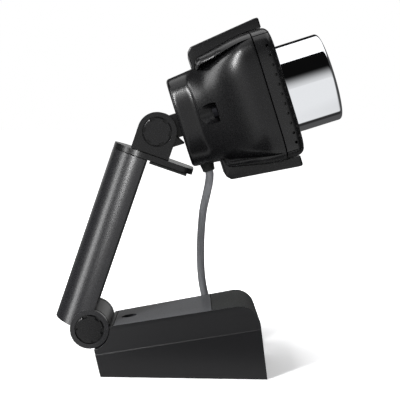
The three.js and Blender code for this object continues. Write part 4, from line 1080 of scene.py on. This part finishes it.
def surroundings():
    """White to the eye; what lights and mirrors the webcam is a dim room with a bright sweep before it."""
    world = bpy.data.worlds.new("studio")
    bpy.context.scene.world = world
    world.use_nodes = True
    tree = world.node_tree
    direction = node(tree, "ShaderNodeTexCoord").outputs["Generated"]
    way = node(tree, "ShaderNodeSeparateXYZ", links={"Vector": direction}).outputs

    def ramp(source, start, end, low, high):
        settings = {"From Min": start, "From Max": end, "To Min": low, "To Max": high}
        settings["interpolation_type"] = "SMOOTHSTEP"
        return node(tree, "ShaderNodeMapRange", settings, {"Value": source}).outputs[0]

    def mixed(factor, one, two):
        made = node(tree, "ShaderNodeMix", {"data_type": "FLOAT"})
        for socket, source in zip((0, 2, 3), (factor, one, two)):
            if isinstance(source, float):
                made.inputs[socket].default_value = source
            else:
                tree.links.new(source, made.inputs[socket])
        return made.outputs[0]

    aside = node(tree, "ShaderNodeMath", {"operation": "ABSOLUTE"}, {0: way["X"]}).outputs[0]
    before = ramp(way["Z"], -0.02, 0.5, 0.8, 0.004)
    behind = ramp(way["Z"], 0.14, 0.26, 0.75, 0.01)
    above = mixed(ramp(way["Y"], -0.1, 0.1, 0.0, 1.0), before, behind)
    below = ramp(way["Y"], 0.28, 0.36, 0.95, 0.03)
    below = mixed(ramp(way["Y"], 0.5, 0.56, 0.0, 1.0), below, 0.09)
    room = mixed(ramp(way["Z"], -0.03, 0.03, 0.0, 1.0), below, above)
    room = mixed(ramp(aside, 0.35, 0.75, 0.0, 1.0), room, 0.07)
    seen = mixed(node(tree, "ShaderNodeLightPath").outputs["Is Camera Ray"], room, 1.0)
    tree.links.new(seen, tree.nodes["Background"].inputs["Strength"])
    tree.nodes["Background"].inputs["Color"].default_value = (1, 1, 1, 1)


def make_floor():
    """A white floor with painted light: it glows, more strongly to the eye and away from the webcam, so that
    a painted shade rings the webcam.
    """
    shape = bmesh.new()
    bmesh.ops.create_circle(shape, cap_ends=True, radius=FLOOR_RADIUS, segments=96)
    mesh = to_mesh("studio_floor", shape)
    vinyl_with_painted_glow = finish_for("floor")
    tree = vinyl_with_painted_glow.node_tree
    glow = tree.nodes["Principled BSDF"]
    # Painted light: the floor glows, and to the eye the glow rises away from the webcam, leaving a painted
    # shade round it.
    glow.inputs["Emission Color"].default_value = (1, 1, 1, 1)
    place = node(tree, "ShaderNodeTexCoord").outputs["Object"]
    away = node(tree, "ShaderNodeVectorMath", {"operation": "LENGTH"}, {0: place})
    settings = {"From Min": GLOW_NEAR, "From Max": GLOW_FAR, "To Min": 0.0, "To Max": GLOW_RISE}
    rise = node(tree, "ShaderNodeMapRange", settings, {"Value": away.outputs["Value"]})
    seen = node(tree, "ShaderNodeLightPath").outputs["Is Camera Ray"]
    settings = {"operation": "MULTIPLY_ADD", 2: GLOW_LOW}
    lit = node(tree, "ShaderNodeMath", settings, {0: rise.outputs[0], 1: seen})
    tree.links.new(lit.outputs[0], glow.inputs["Emission Strength"])
    mesh.materials.append(vinyl_with_painted_glow)
    floor = link("studio_floor", mesh)
    floor.visible_glossy = False


def make_card():
    """A black card before the foot, seen only in what mirrors it: a painted dark reflection."""
    left, right, near, far, height = CARD
    shape = bmesh.new()
    corners = [(left, near, height), (right, near, height), (right, far, height), (left, far, height)]
    shape.faces.new([shape.verts.new(corner) for corner in corners])
    mesh = to_mesh("dark_card", shape)
    mesh.materials.append(finish_for("felt"))
    card = link("dark_card", mesh)
    # Painted reflection: the card shows only in reflections, as a dark patch.
    card.visible_camera = card.visible_diffuse = card.visible_shadow = False


def make_studio():
    """The glowing floor, the room, a wide panel above, two tall strips to the left and the dark card that
    paints dark reflections.
    """
    make_floor()
    surroundings()
    for name, values in PANELS.items():
        panel(name, *values)
    make_card()
    bpy.context.scene.view_settings.view_transform = "Standard"


# ---------------------------------------------------------------- operators
def operator(identifier, label, description, action):
    """An operator that runs one maker."""

    def execute(self, context):
        action(context.scene)
        return {"FINISHED"}

    return type(
        "WEBCAM_OT_" + identifier,
        (bpy.types.Operator,),
        {
            "__doc__": description,
            "bl_idname": "webcam." + identifier,
            "bl_label": label,
            "bl_options": {"REGISTER", "UNDO"},
            "execute": execute,
        },
    )


OPERATORS = [
    operator("camera", "Camera", "Places the camera", lambda s: make_camera()),
    operator("cord", "Cord", "Makes the coiled cord", lambda s: make_cord(s.webcam_cord, s.webcam_head)),
    operator("base", "Base", "Makes the wedge foot", lambda s: make_base()),
    operator("arm", "Arm", "Makes the arm, lip, yoke and hinges", lambda s: make_arm()),
    operator("rear_cover", "Rear cover", "Makes the housing", lambda s: make_rear_cover(s.webcam_head)),
    operator("slabs", "Slabs", "Makes the raised slabs", lambda s: make_slabs(s.webcam_head)),
    operator("bezel", "Bezel", "Makes the front", lambda s: make_bezel(s.webcam_head, s.webcam_lens)),
    operator("neck", "Neck", "Makes the neck and dresses its fixings", lambda s: make_neck()),
    operator("lens", "Lens", "Makes the barrel and lens", lambda s: make_lens(s.webcam_lens, s.webcam_head)),
    operator("inside", "Inside", "Dresses the board and sensor", lambda s: make_inside()),
    operator("studio", "Studio", "Makes the floor, lights and card", lambda s: make_studio()),
]


class WEBCAM_PT_parts(bpy.types.Panel):
    """The webcam's makers in the 3D view's sidebar."""

    bl_label = "Webcam"
    bl_idname = "WEBCAM_PT_parts"
    bl_space_type = "VIEW_3D"
    bl_region_type = "UI"
    bl_category = "Webcam"

    def draw(self, context):
        for maker in OPERATORS:
            self.layout.operator(maker.bl_idname)


GROUPS = {
    "webcam_head": HeadSizes,
    "webcam_lens": LensSizes,
    "webcam_cord": CordSizes,
    "webcam_finishes": Finishes,
}


def register():
    for name, group in GROUPS.items():
        bpy.utils.register_class(group)
        setattr(bpy.types.Scene, name, PointerProperty(type=group))
    for maker in OPERATORS + [WEBCAM_PT_parts]:
        bpy.utils.register_class(maker)


def unregister():
    for maker in reversed(OPERATORS + [WEBCAM_PT_parts]):
        bpy.utils.unregister_class(maker)
    for name, group in GROUPS.items():
        delattr(bpy.types.Scene, name)
        bpy.utils.unregister_class(group)


def main():
    """Builds the webcam and its studio."""
    register()
    for maker in OPERATORS:
        _, name = maker.bl_idname.split(".")
        getattr(bpy.ops.webcam, name)()


if __name__ == "__main__":
    main()
